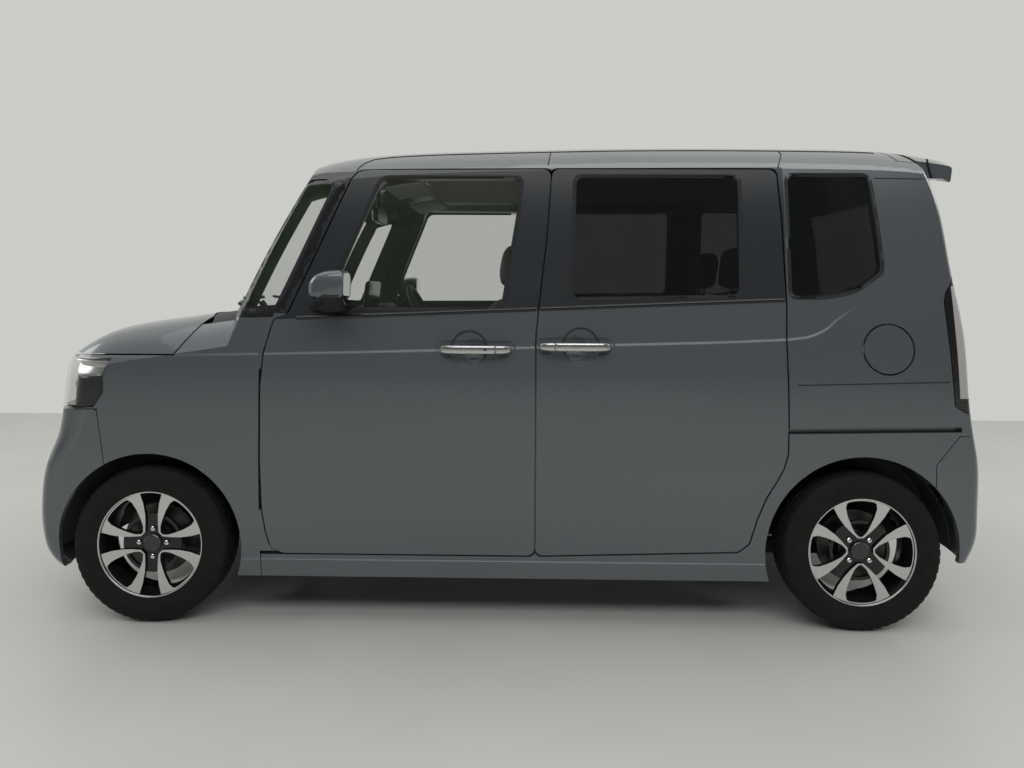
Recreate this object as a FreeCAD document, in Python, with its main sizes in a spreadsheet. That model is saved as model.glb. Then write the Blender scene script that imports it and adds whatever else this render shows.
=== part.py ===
"""Tall kei-class car: body, doors, glass, lamps, cabin, wheels, steering and suspension.

All lengths are millimetres. The car points along -X, +Y is its right-hand side and +Z is up.
The origin lies on the ground, at half length and half width.
"""
import FreeCAD, Part
import Sketcher
import math
import os
from types import SimpleNamespace

V = FreeCAD.Vector

# driving dimensions, kept in the sheet of the document
SIZES = {
    # whole body
    "body_length": 3395, "body_width": 1475, "body_height": 1780,
    "wheelbase": 2520, "front_overhang": 433, "track_width": 1305,
    "overrun": 600,
    # body surfaces
    "roof_crown_drop": 150, "roof_half_width": 659, "roof_edge_y": 572, "drip_z": 1642,
    "bonnet_rear_z": 1100, "bonnet_shoulder_drop": 150, "bonnet_half_width": 745,
    "screen_base_x": -1109, "screen_top_x": -816, "screen_base_z": 1088, "screen_top_z": 1621,
    "screen_plan_depth": 150, "screen_bulge": 12, "screen_half_width": 700,
    "underside_z": 165, "front_arch_radius": 328, "rear_arch_radius": 338,
    "front_arch_depth": 320, "rear_arch_depth": 207,
    # walls
    "panel_skin": 20, "flange_depth": 26,
    "pillar_wall": 50, "wall_inner_y": 650, "belt_z": 1090, "cabin_front_x": -1000,
    "floor_top_z": 330, "floor_sheet": 15,
    # gaps
    "panel_gap": 5.6, "hinge_edge_gap": 7, "seat_gap": 0.3,
    # side doors
    "door_front_x": -868, "door_split_x": 108, "slide_rear_x": 992,
    "door_bottom_z": 250, "door_top_z": 1633,
    "door_box_inset": 40, "flange_inset": 32,
    "door_corner_radius": 26, "hinge_setback": 40, "hinge_inset_y": 10, "hinge_relief_y": 677,
    # glass
    "glass_sink": 3, "glass_sheet": 5, "window_radius": 34,
    "door_window_front_x": -650, "door_window_rear_x": 60,
    "door_window_low_z": 1120, "door_window_top_z": 1600,
    "slide_window_front_x": 229, "slide_window_rear_x": 838,
    "slide_window_low_z": 1160, "slide_window_top_z": 1606,
    "rear_window_front_x": 1000, "rear_window_rear_x": 1332,
    "rear_window_low_z": 1168, "rear_window_top_z": 1612,
    "quarter_front_x": -1000, "quarter_rear_x": -600,
    "quarter_low_z": 1116, "quarter_top_z": 1596,
    "screen_low_z": 1118, "screen_low_half": 636, "screen_high_half": 566,
    # bonnet and cowl
    "bonnet_side_z": 946, "bonnet_corner_x": -1176, "bonnet_rear_x": -1098, "cowl_depth": 74,
    "cowl_half": 640, "cowl_low_z": 1000, "seam": 3,
    "header_depth": 38, "header_rear_x": -600, "screen_pillar": 22,
    "fender_inner_y": 640,
    # front bumper, lamps and grille
    "bumper_low_z": 190, "bumper_top_z": 762, "bumper_side_x": -1410,
    "lamp_rear_x": -1408, "lamp_low_z": 766, "lamp_high_z": 940, "lamp_inner_y": 440,
    "lamp_radius": 14,
    "grille_slot": 20, "grille_bar": 15, "grille_edge": 14,
    "intake_half": 430, "intake_low_z": 270, "intake_high_z": 440,
    # rear bumper, lamps and gate
    "rear_bumper_low_z": 243, "rear_bumper_top_z": 690, "rear_bumper_side_x": 1504,
    "tail_front_x": 1540, "tail_low_z": 758, "tail_high_z": 1245, "tail_inner_y": 610,
    "gate_front_x": 1443, "gate_low_z": 696, "gate_low_half": 604, "gate_high_half": 610,
    "gate_glass_low_z": 1170, "gate_glass_high_z": 1560, "gate_glass_half": 575,
    "gate_neck_z": 1570,
    "spoiler_tip_x": 1655, "spoiler_front_x": 1480, "spoiler_half": 556, "spoiler_low_z": 1612,
    "spoiler_tip_z": 1656,
    # round fuel lid
    "fuel_lid_x": 1339, "fuel_lid_z": 991, "fuel_lid_radius": 85,
    "fuel_pocket_depth": 46, "fuel_hinge_out": 10, "fuel_barrel_radius": 2.4,
    "fuel_barrel_length": 30, "fuel_hinge_sink": 2,
    # slide rail slot
    "slot_front_x": 993, "slot_rear_x": 1588, "slot_low_z": 694, "slot_height": 18,
    "slot_rise": 11,
    # wheels
    "tyre_radius": 278.5, "tyre_width": 155, "tyre_bead_radius": 182, "tyre_bead_half": 62,
    "tyre_wall_radius": 230, "tyre_shoulder_radius": 265, "tyre_shoulder_half": 70,
    "tyre_tread_half": 52,
    "rim_flange_radius": 191, "rim_flange_sheet": 5, "rim_wall": 9,
    "disc_edge_back": 42, "disc_back": 22, "disc_front": 50, "disc_hub_radius": 70,
    "disc_front_radius": 165, "disc_front_edge": 60,
    "hub_bore_radius": 28, "cap_front": 54,
    "window_low_radius": 82, "window_high_radius": 160, "window_low_half": 14,
    "window_high_half": 40, "window_count": 8,
    "brake_radius": 128, "brake_back": 30, "brake_front": 12, "hub_face_radius": 66,
    "hub_back": 44, "hub_back_radius": 40, "stub_radius": 16.2, "stub_bore_end": 8,
    # steering and suspension
    "kingpin_low_y": 596, "kingpin_low_z": 196, "kingpin_top_y": 540, "kingpin_top_z": 862,
    "kingpin_rake": 20, "strut_radius": 24, "strut_low_y": 543, "strut_low_z": 250,
    "spring_radius": 52, "spring_low_z": 640, "spring_wall": 10, "perch_sheet": 8,
    "carrier_half": 40, "carrier_outer_y": 585, "carrier_low_z": 214, "carrier_top_z": 330,
    "bearing_radius": 38, "bearing_back": 49, "pin_radius": 10, "pin_low_z": 178,
    "boss_radius": 16, "caliper_inner": 95, "caliper_outer": 155, "caliper_half": 50,
    "caliper_back": 62, "caliper_front": 1,
    "arm_inner_y": 330, "arm_inner_half": 45, "arm_tip_radius": 20, "arm_low_z": 185,
    "arm_sheet": 22, "subframe_front_x": -1430, "subframe_rear_x": -1100,
    "subframe_height": 50, "rack_x": -1130, "rack_z": 262, "rack_reach": 300, "rack_radius": 20,
    "tower_half": 80, "tower_gap": 6, "tower_sheet": 12, "tower_outer_y": 640,
    "rail_inner_y": 318, "rail_width": 60, "rail_front_x": -1630,
    "rail_height": 90, "liner_sheet": 6, "liner_gap": 6, "liner_inner_y": 417,
    "liner_outer_y": 690, "liner_low_z": 262, "strut_hole_radius": 64,
    "steer_wheel_x": -430, "steer_wheel_y": 330, "steer_wheel_z": 1050,
    "steer_wheel_radius": 165, "steer_rim_radius": 14, "steer_tilt": 26,
    "steer_hub_radius": 62, "steer_hub_height": 40, "steer_spoke_radius": 11,
    "steer_shaft_radius": 12, "steer_shaft_length": 60, "column_radius": 30,
    "column_length": 300,
    # power unit, tank and exhaust
    "engine_length": 380, "engine_width": 560, "engine_height": 470, "engine_low_z": 330,
    "engine_front_x": -1480, "engine_edge": 24,
    "tank_length": 620, "tank_width": 760, "tank_height": 110,
    "tank_front_x": -300, "tank_edge": 22,
    "exhaust_radius": 22, "silencer_radius": 70, "silencer_length": 220,
    "beam_radius": 34, "beam_x": 1105, "beam_z": 230, "trailing_front_x": 880,
    "trailing_y": 500, "trailing_half": 20, "trailing_height": 50, "rear_carrier_half": 35,
    "rear_spring_y": 430, "rear_spring_radius": 45, "rear_spring_wall": 10,
    "damper_radius": 20, "damper_low_x": 1310, "damper_top_x": 1340,
    # cabin floor and walls
    "kick_up_x": 830, "luggage_floor_z": 520, "wall_sheet": 15, "toe_top_z": 1040,
    "rear_panel_x": 1585, "rear_panel_half": 600, "rear_panel_low_z": 290,
    "rear_liner_inner_y": 530, "front_panel_low_z": 250, "front_panel_high_z": 500,
    "front_panel_half": 470, "rear_panel_high_z": 780,
    "shelf_front_x": -1640, "shelf_rear_x": -1505, "shelf_half": 640, "shelf_low_z": 895,
    "post_sheet": 25, "stop_radius": 12, "stop_x": -1515, "stop_y": 400, "gate_stop_z": 745,
    "beam_low_z": 450, "beam_high_z": 520, "beam_half": 500,
    "mount_half": 60, "mount_length": 50,
    # dashboard and seats
    "dash_low_z": 690, "dash_top_z": 1058, "dash_rear_x": -650, "dash_half": 636,
    "dash_front_x": -1085,
    "seat_width": 490, "front_seat_y": 300, "front_seat_x": -380, "rear_seat_x": 530,
    "bench_width": 1180, "seat_base_z": 340, "seat_reach": 445, "seat_height": 845,
    "seat_radius": 34, "head_rest_width": 260, "head_post_radius": 6, "seat_foot": 60,
    # mirrors and handles
    "mirror_front_x": -657, "mirror_rear_x": -532, "mirror_low_z": 1152, "mirror_top_z": 1262,
    "mirror_inner_y": 790, "mirror_outer_y": 905, "mirror_foot_z": 1105, "mirror_foot_sheet": 58,
    "mirror_radius": 26,
    "front_handle_x": -104, "rear_handle_x": 245, "handle_z": 984, "handle_length": 255,
    "handle_height": 30, "handle_stand": 44, "handle_sheet": 16, "handle_foot": 36,
    "cup_radius": 75, "cup_depth": 14,
}

doc = FreeCAD.newDocument("kei_car")
sheet = doc.addObject("Spreadsheet::Sheet", "sizes")
for row, (alias, value) in enumerate(SIZES.items(), 1):
    sheet.set(f"A{row}", alias)
    sheet.set(f"B{row}", str(value))
    sheet.setAlias(f"B{row}", alias)
doc.recompute()
s = SimpleNamespace(**{alias: float(sheet.get(alias)) for alias in SIZES})

# places that follow from the driving dimensions
nose_x = -s.body_length / 2
tail_x = s.body_length / 2
front_axle_x = nose_x + s.front_overhang
rear_axle_x = front_axle_x + s.wheelbase
rear_overhang = tail_x - rear_axle_x
half_width = s.body_width / 2
wheel_y = s.track_width / 2
outside_y = half_width + s.overrun

# body surfaces, as shares of the sizes that they follow
# each row: height, half width, then nose set-back and corner depth, tail set-back and corner depth
BODY_SHARES = ((0.050, 0.936, 0.340, 0.21, 0.180, 0.20), (0.110, 0.955, 0.130, 0.21, 0.095, 0.20),
               (0.140, 0.966, 0.035, 0.21, 0.060, 0.20), (0.175, 0.976, 0.004, 0.21, 0.010, 0.20),
               (0.230, 0.988, 0.000, 0.21, 0.000, 0.20), (0.281, 0.994, 0.010, 0.23, 0.000, 0.20),
               (0.327, 0.998, 0.040, 0.28, 0.010, 0.19), (0.371, 0.999, 0.098, 0.33, 0.045, 0.17),
               (0.430, 1.000, 0.135, 0.36, 0.092, 0.15), (0.540, 0.993, 0.190, 0.36, 0.119, 0.15),
               (0.613, 0.976, 0.260, 0.36, 0.142, 0.15), (0.690, 0.952, 0.340, 0.36, 0.190, 0.15),
               (0.795, 0.926, 0.460, 0.36, 0.246, 0.15), (0.892, 0.896, 0.560, 0.36, 0.333, 0.15),
               (1.060, 0.838, 0.720, 0.36, 0.560, 0.15))
# each row: place along the half length, fall below the top in shares of the crown
ROOF_SHARES = ((-0.620, 1.600), (-0.545, 1.080), (-0.483, 0.720), (-0.421, 0.440),
               (-0.353, 0.285), (-0.265, 0.187), (-0.147, 0.120), (0.000, 0.073),
               (0.236, 0.015), (0.471, 0.000), (0.707, 0.020), (0.854, 0.080),
               (0.943, 0.200), (1.060, 0.420))
# each row: place along the half length, height in shares of the bonnet's rear edge
BONNET_SHARES = ((-1.060, 0.740), (-0.985, 0.835), (-0.943, 0.888), (-0.919, 0.915),
                 (-0.884, 0.943), (-0.825, 0.966), (-0.746, 0.984), (-0.672, 1.000),
                 (-0.589, 1.018), (-0.500, 1.036), (-0.400, 1.055), (-0.300, 1.072))
SCREEN_SHARES = (-1.00, -0.45, 0.00, 0.33, 0.67, 1.00, 1.50)
NOSE_POWER, TAIL_POWER = 4.2, 4.0
ROOF_POWER, BONNET_POWER, SCREEN_POWER = 3.4, 8, 2.6
CURVE_STEPS, CROWN_STEPS, CROWN_REACH_SHARE = 16, 20, 1.12

# outlines of panels, as shares of the frame that each panel fills
DOOR_SHARES = ((0.080, 0.000), (0.037, 0.015), (0.020, 0.056), (0.007, 0.115), (0.000, 0.268),
               (0.000, 0.422), (0.012, 0.518), (0.046, 0.607), (0.095, 0.618),
               (0.331, 1.000), (1.058, 1.000), (1.039, 0.815), (1.009, 0.630), (1.000, 0.557),
               (1.000, 0.000))
SLIDE_SHARES = ((0.000, 0.000), (0.809, 0.016), (0.852, 0.038), (0.880, 0.102), (0.915, 0.158),
                (0.958, 0.204), (0.982, 0.234), (0.998, 0.269), (1.000, 0.356), (0.993, 0.558),
                (0.998, 0.660), (0.990, 0.847), (0.975, 1.000), (0.064, 1.000), (0.043, 0.815),
                (0.010, 0.630), (0.000, 0.557))
DOOR_WINDOW_SHARES = ((0.000, 0.000), (0.106, 0.394), (0.276, 1.000), (1.000, 1.000),
                      (0.983, 0.761), (0.901, 0.008))
SLIDE_WINDOW_SHARES = ((0.000, 0.000), (0.030, 1.000), (1.000, 1.000), (0.993, 0.026))
REAR_WINDOW_SHARES = ((0.012, 0.000), (0.395, 0.004), (0.705, 0.052), (0.988, 0.203),
                      (1.000, 0.264), (0.973, 0.515), (0.900, 1.000), (0.006, 1.000))
QUARTER_SHARES = ((0.013, 0.000), (0.430, 0.000), (0.960, 1.000), (0.675, 1.000))
LAMP_SHARES = ((-0.600, 1.000), (1.000, 1.000), (0.925, 0.672), (0.932, 0.322), (0.818, 0.040),
               (0.479, 0.000), (-0.600, 0.000))
TAIL_SHARES = ((0.256, 1.000), (0.037, 0.879), (0.000, 0.807), (0.094, 0.378), (0.163, 0.078),
               (0.550, 0.000), (1.700, 0.000), (1.700, 1.000))


def side_y(z):
    """Half width of the body at a height."""
    share = z / s.body_height
    for (low, first, *_), (high, last, *_) in zip(BODY_SHARES, BODY_SHARES[1:]):
        if share <= high:
            return half_width * (first + (last - first) * (share - low) / (high - low))
    return half_width * BODY_SHARES[-1][1]


def rounded_end(half, depth, power):
    """Points (across, set back) of the nose or tail in plan, from one body side to the other."""
    points = []
    for step in range(CURVE_STEPS + 1):
        turn = math.pi * step / CURVE_STEPS
        across_share = math.copysign(abs(math.cos(turn)) ** (2 / power), math.cos(turn))
        points.append((half * across_share, depth * (1 - math.sin(turn) ** (2 / power))))
    return points


def crowned(half, drop, power):
    """Points (across, fallen) of a crowned curve that runs on past both sides."""
    shares = [CROWN_REACH_SHARE * (1 - 2 * step / CROWN_STEPS) for step in range(CROWN_STEPS + 1)]
    return [(half * share, drop * abs(share) ** power) for share in shares]


def spline(points):
    """A smooth edge through points."""
    curve = Part.BSplineCurve()
    curve.interpolate(points)
    return curve.toShape()


def surface_face(rows):
    """One smooth face through rows of points."""
    surface = Part.BSplineSurface()
    surface.interpolate([[V(*point) for point in row] for row in rows])
    return surface.toShape()


def solid(shape):
    """The shape with its solids turned right side out."""
    if shape.Volume < 0:
        shape.reverse()
    return shape


def grown(points, margin):
    """A closed outline moved out by a margin, or in where it is negative."""
    area = sum(a[0] * b[1] - b[0] * a[1] for a, b in zip(points, points[1:] + points[:1]))
    turn = math.copysign(1, area)
    lines = []
    for (ax, az), (bx, bz) in zip(points, points[1:] + points[:1]):
        length = math.hypot(bx - ax, bz - az)
        nx, nz = turn * (bz - az) / length, -turn * (bx - ax) / length
        lines.append((nx, nz, nx * ax + nz * az + margin))
    moved = []
    for (nx, nz, reach), (mx, mz, span) in zip(lines[-1:] + lines[:-1], lines):
        cross = nx * mz - nz * mx
        moved.append(((reach * mz - span * nz) / cross, (span * nx - reach * mx) / cross))
    return moved


def outline_face(points, place, radius=0.0):
    """A face from a closed outline, its corners rounded as far as their sides allow."""
    corners = [place(*point) for point in points]
    if not radius:
        return Part.Face(Part.makePolygon(corners + corners[:1]))
    edges, ends = [], []
    count = len(corners)
    for index, corner in enumerate(corners):
        before, after = corners[index - 1] - corner, corners[(index + 1) % count] - corner
        turn = math.pi - before.getAngle(after)
        reach = min(radius * math.tan(turn / 2), 0.45 * before.Length, 0.45 * after.Length)
        before.normalize()
        after.normalize()
        start, end = corner + before * reach, corner + after * reach
        inner = reach / math.tan(turn / 2) if turn > 1e-3 else 0
        bisector = before + after
        if inner and bisector.Length > 1e-6:
            bisector.normalize()
            centre = corner + bisector * math.hypot(reach, inner)
            middle = centre - bisector * inner
            edges.append((start, middle, end))
        else:
            edges.append((start, None, end))
        ends.append((start, end))
    shapes = []
    for index, (start, middle, end) in enumerate(edges):
        if middle:
            shapes.append(Part.Arc(start, middle, end).toShape())
        else:
            shapes.append(Part.LineSegment(start, end).toShape())
        following = ends[(index + 1) % count][0]
        if end.distanceToPoint(following) > 1e-6:
            shapes.append(Part.LineSegment(end, following).toShape())
    return Part.Face(Part.Wire(shapes))


def fitted(shares, x_low, x_high, z_low, z_high):
    """An outline in millimetres from shares of the frame that it fills."""
    return [(x_low + (x_high - x_low) * x, z_low + (z_high - z_low) * z) for x, z in shares]


def across(points, y_from, y_to, radius=0.0):
    """A prism along Y over an outline in the side view."""
    face = outline_face(points, lambda x, z: V(x, y_from, z), radius)
    return solid(face.extrude(V(0, y_to - y_from, 0)))


def along(points, x_from, x_to, radius=0.0):
    """A prism along X over an outline in the front view."""
    face = outline_face(points, lambda y, z: V(x_from, y, z), radius)
    return solid(face.extrude(V(x_to - x_from, 0, 0)))


def box(x_from, x_to, y_from, y_to, z_from, z_to):
    """A plain box between two corners."""
    corner = V(min(x_from, x_to), min(y_from, y_to), min(z_from, z_to))
    return Part.makeBox(abs(x_to - x_from), abs(y_to - y_from), abs(z_to - z_from), corner)


def rod(start, end, radius):
    """A round bar between two points."""
    return Part.makeCylinder(radius, start.distanceToPoint(end), start, end - start)


def mirrored(shape):
    """The same shape on the other side of the car."""
    return shape.mirror(V(0, 0, 0), V(0, 1, 0))


def both(shape):
    """A left-hand shape and its right-hand twin."""
    return Part.Compound([shape, mirrored(shape)])


def body_block(inset):
    """The body in plan at every height, with its rounded nose and tail, as one loft."""
    wires = []
    for z_share, y_share, nose_share, nose_depth, tail_share, tail_depth in BODY_SHARES:
        z, y = z_share * s.body_height, y_share * half_width - inset
        x_front = nose_x + nose_share * s.front_overhang + inset
        x_rear = tail_x - tail_share * rear_overhang - inset
        front = [V(x_front + back, side, z)
                 for side, back in rounded_end(y, nose_depth * s.front_overhang, NOSE_POWER)]
        rear = [V(x_rear - back, -side, z)
                for side, back in rounded_end(y, tail_depth * rear_overhang, TAIL_POWER)]
        wires.append(Part.Wire([spline(front), Part.LineSegment(front[-1], rear[0]).toShape(),
                                spline(rear), Part.LineSegment(rear[-1], front[0]).toShape()]))
    return Part.makeLoft(wires, True, False)


def roof_tool(inset):
    """What lies above the roof."""
    rows = []
    for x_share, drop_share in ROOF_SHARES:
        z = s.body_height - drop_share * s.roof_crown_drop - inset
        curve = crowned(s.roof_half_width - inset, s.roof_crown_drop, ROOF_POWER)
        rows.append([(x_share * tail_x, y, z - fallen) for y, fallen in curve])
    return surface_face(rows).extrude(V(0, 0, s.overrun))


def bonnet_tool(inset):
    """What lies above the bonnet."""
    rows = []
    for x_share, z_share in BONNET_SHARES:
        x, z = x_share * tail_x, z_share * s.bonnet_rear_z
        curve = crowned(s.bonnet_half_width - inset, s.bonnet_shoulder_drop, BONNET_POWER)
        rows.append([(x, y, z - inset - fallen) for y, fallen in curve])
    return surface_face(rows).extrude(V(0, 0, s.body_height))


def screen_tool(inset, ahead):
    """What lies ahead of the windscreen surface, moved ahead by a distance."""
    rise, run = s.screen_top_z - s.screen_base_z, s.screen_top_x - s.screen_base_x
    shift = inset * math.hypot(rise, run) / rise - ahead
    rows = []
    for share in SCREEN_SHARES:
        x = s.screen_base_x + run * share - s.screen_bulge * 4 * share * (1 - share)
        curve = crowned(s.screen_half_width, s.screen_plan_depth, SCREEN_POWER)
        z = s.screen_base_z + rise * share
        rows.append([(x + shift + fallen, y, z) for y, fallen in curve])
    return surface_face(rows).extrude(V(-s.body_length, 0, 0))


hull_store = {}


def hull(inset):
    """The closed body form, moved in by an inset; each one is worked out once."""
    if inset not in hull_store:
        block = body_block(inset).cut(roof_tool(inset))
        ahead = block.common(screen_tool(inset, 0)).common(bonnet_tool(inset))
        below = box(nose_x - s.overrun, tail_x + s.overrun, -outside_y, outside_y,
                    -s.overrun, s.underside_z + inset)
        hull_store[inset] = block.cut(ahead).cut(below)
    return hull_store[inset]


def sheet_layer(outer, inner, region):
    """The layer of the body between two insets, inside a region."""
    return hull(outer).common(region).cut(hull(inner))


# clear space inside the cabin
upper_void = hull(s.pillar_wall).common(
    box(s.screen_base_x, tail_x, -half_width, half_width, s.belt_z, s.body_height))
lower_void = box(s.cabin_front_x, tail_x - rear_overhang * 0.22, -s.wall_inner_y, s.wall_inner_y,
                 -s.overrun, s.belt_z + s.seat_gap)

# side view outlines
door_outline = fitted(DOOR_SHARES, s.door_front_x, s.door_split_x, s.door_bottom_z, s.door_top_z)
slide_outline = fitted(SLIDE_SHARES, s.door_split_x, s.slide_rear_x,
                       s.door_bottom_z, s.door_top_z)
door_window = fitted(DOOR_WINDOW_SHARES, s.door_window_front_x, s.door_window_rear_x,
                     s.door_window_low_z, s.door_window_top_z)
slide_window = fitted(SLIDE_WINDOW_SHARES, s.slide_window_front_x, s.slide_window_rear_x,
                      s.slide_window_low_z, s.slide_window_top_z)
rear_window = fitted(REAR_WINDOW_SHARES, s.rear_window_front_x, s.rear_window_rear_x,
                     s.rear_window_low_z, s.rear_window_top_z)
quarter_window = fitted(QUARTER_SHARES, s.quarter_front_x, s.quarter_rear_x,
                        s.quarter_low_z, s.quarter_top_z)
lamp_outline = fitted(LAMP_SHARES, nose_x, s.lamp_rear_x, s.lamp_low_z, s.lamp_high_z)
tail_outline = fitted(TAIL_SHARES, s.tail_front_x, tail_x, s.tail_low_z, s.tail_high_z)
screen_outline = [(-s.screen_low_half, s.screen_low_z), (s.screen_low_half, s.screen_low_z),
                  (s.screen_high_half, s.drip_z), (-s.screen_high_half, s.drip_z)]
bonnet_outline = [(nose_x - s.overrun, s.bonnet_side_z),
                  (s.bonnet_corner_x, s.bonnet_side_z + s.panel_gap * 2),
                  (s.bonnet_rear_x, s.screen_base_z),
                  (s.bonnet_rear_x, s.body_height), (nose_x - s.overrun, s.body_height)]
bumper_outline = [(nose_x - s.overrun, s.bumper_low_z), (s.bumper_side_x, s.bumper_low_z),
                  (s.bumper_side_x, (s.bumper_low_z + s.bumper_top_z) / 2),
                  (s.bumper_side_x - s.panel_skin * 2, s.bumper_top_z),
                  (nose_x - s.overrun, s.bumper_top_z)]
rear_bumper_outline = [(s.rear_bumper_side_x, s.rear_bumper_low_z),
                       (tail_x + s.overrun, s.rear_bumper_low_z),
                       (tail_x + s.overrun, s.rear_bumper_top_z),
                       (s.rear_bumper_side_x + s.panel_gap * 14, s.rear_bumper_top_z),
                       (s.rear_bumper_side_x, s.rear_bumper_top_z - s.panel_skin * 5)]
gate_outline = [(-s.gate_low_half, s.gate_low_z), (s.gate_low_half, s.gate_low_z),
                (s.gate_low_half, s.tail_high_z + s.panel_gap),
                (s.gate_high_half, s.tail_high_z + s.panel_gap * 4),
                (s.roof_edge_y, s.gate_neck_z), (s.roof_edge_y, s.body_height + s.overrun),
                (-s.roof_edge_y, s.body_height + s.overrun), (-s.roof_edge_y, s.gate_neck_z),
                (-s.gate_high_half, s.tail_high_z + s.panel_gap * 4),
                (-s.gate_low_half, s.tail_high_z + s.panel_gap)]
gate_glass_outline = [(-s.gate_glass_half, s.gate_glass_low_z),
                      (s.gate_glass_half, s.gate_glass_low_z),
                      (s.gate_glass_half - s.window_radius, s.gate_glass_high_z),
                      (-s.gate_glass_half + s.window_radius, s.gate_glass_high_z)]
half_gap = s.panel_gap / 2


def front_arch(margin=0.0):
    """The round opening over a left front wheel."""
    return Part.makeCylinder(s.front_arch_radius + margin, s.front_arch_depth + s.overrun,
                             V(front_axle_x, -half_width - s.overrun, s.tyre_radius), V(0, 1, 0))


def rear_arch(margin=0.0):
    """The round opening over a left rear wheel."""
    return Part.makeCylinder(s.rear_arch_radius + margin, s.rear_arch_depth + s.overrun,
                             V(rear_axle_x, -half_width - s.overrun, s.tyre_radius), V(0, 1, 0))


nodes = []


def keep(label, shape):
    """A piece of the car as a feature of the document, under its own label."""
    piece = doc.addObject("Part::Feature", label)
    piece.Label = label
    piece.Shape = shape
    piece.Placement = FreeCAD.Placement()
    nodes.append(piece)
    return piece


# side doors: an outer skin that overlaps the body, and a smaller box behind it
def door_panel(outline, front_gap):
    """A left-hand door with its window cut, clear of the body all round."""
    reach = grown(outline, -half_gap)
    panel = hull(0).common(across(reach, -outside_y, -s.roof_edge_y / 2, s.door_corner_radius))
    trim = box(s.door_front_x - s.overrun, s.door_front_x + front_gap - half_gap,
               -outside_y, 0, 0, s.belt_z)
    step = across(grown(outline, s.flange_inset), -outside_y, 0).cut(
        across(grown(outline, -s.door_box_inset), -outside_y, 0, s.door_corner_radius))
    step = step.common(hull(s.panel_skin))
    return panel.cut([upper_void, lower_void, trim, step])


def door_opening(outline):
    """What the body leaves free for a left-hand door and the step behind its edge."""
    skin = across(grown(outline, half_gap), -outside_y, -s.roof_edge_y / 2, s.door_corner_radius)
    throat = across(grown(outline, -s.flange_inset), -outside_y, -s.roof_edge_y / 2,
                    s.door_corner_radius)
    return [skin.cut(hull(s.flange_depth)), throat]


def window_tool(outline, margin=0.0):
    """The prism of a left-hand window."""
    return across(grown(outline, margin), -outside_y, -s.roof_edge_y / 2, s.window_radius)


def window_pane(outline):
    """A left-hand pane that fills its window, set a little inside the surface."""
    return sheet_layer(s.glass_sink, s.glass_sink + s.glass_sheet,
                       window_tool(outline, -s.seat_gap))


def handle_cup(x, z):
    """The round recess behind a left-hand handle."""
    centre = V(x, -side_y(z) - s.cup_radius + s.cup_depth, z)
    return Part.makeSphere(s.cup_radius, centre)


rear_handle_z = s.handle_z + s.panel_gap * 2
front_door = door_panel(door_outline, s.hinge_edge_gap).cut(
    [window_tool(door_window), handle_cup(s.front_handle_x, s.handle_z)])
slide_door = door_panel(slide_outline, half_gap).cut(
    [window_tool(slide_window), handle_cup(s.rear_handle_x, rear_handle_z)])
front_pane = window_pane(door_window)
slide_pane = window_pane(slide_window)

# regions that the panels share
fender_zone = box(nose_x - s.overrun, s.door_front_x, -outside_y, 0, 0, s.belt_z + s.seat_gap)
fender_zone = fender_zone.cut(hull(s.flange_depth))
rear_bumper_zone = across(grown(rear_bumper_outline, s.seam), -outside_y, outside_y)
tail_zone = across(grown(tail_outline, s.seam), -outside_y, -s.tail_inner_y + s.seam)
gate_zone = along(grown(gate_outline, s.panel_gap), s.gate_front_x - s.panel_gap,
                  tail_x + s.overrun)


def roof_region(inset):
    """Where the roof panel lies: above the drip line, and down to the windscreen's top edge."""
    edge = s.roof_edge_y - inset
    top = s.body_height + s.overrun
    above = box(nose_x, tail_x, -edge, edge, s.drip_z + inset, top)
    header = box(s.screen_base_x, s.header_rear_x, -edge, edge, s.drip_z - s.header_depth * 3, top)
    return above.fuse(header.common(roof_tool(s.header_depth)))


roof_zone = roof_region(0)
screen_zone = along(screen_outline, nose_x, s.quarter_rear_x, s.window_radius)
pillar_zone = along(grown(screen_outline, s.screen_pillar), nose_x, s.quarter_rear_x)
cowl_zone = box(nose_x, s.quarter_front_x + s.cowl_depth * 2, -s.cowl_half, s.cowl_half,
                s.cowl_low_z, s.screen_low_z - s.seat_gap)
hinge_relief = box(s.door_front_x - s.panel_gap * 2, s.door_front_x + s.hinge_setback * 2,
                   -outside_y, -s.hinge_relief_y, s.door_bottom_z - half_gap, s.belt_z)
fuel_y = side_y(s.fuel_lid_z)
fuel_hinge_x = s.fuel_lid_x - s.fuel_lid_radius - s.fuel_hinge_out


def fuel_round(radius):
    """The cylinder of the left-hand fuel lid or of its pocket."""
    return Part.makeCylinder(radius, s.overrun, V(s.fuel_lid_x, -fuel_y + s.fuel_pocket_depth,
                                                  s.fuel_lid_z), V(0, -1, 0))


fuel_recess = box(fuel_hinge_x - s.seam, s.fuel_lid_x, -outside_y,
                  -fuel_y + s.fuel_hinge_sink + s.seam,
                  s.fuel_lid_z - s.fuel_barrel_length / 2 - s.seat_gap,
                  s.fuel_lid_z + s.fuel_barrel_length / 2 + s.seat_gap)
slide_slot = across([(s.slot_front_x, s.slot_low_z), (s.slot_rear_x, s.slot_low_z + s.slot_rise),
                     (s.slot_rear_x, s.slot_low_z + s.slot_rise + s.slot_height),
                     (s.slot_front_x, s.slot_low_z + s.slot_height)],
                    -outside_y, 0).cut(hull(s.flange_depth))

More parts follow.
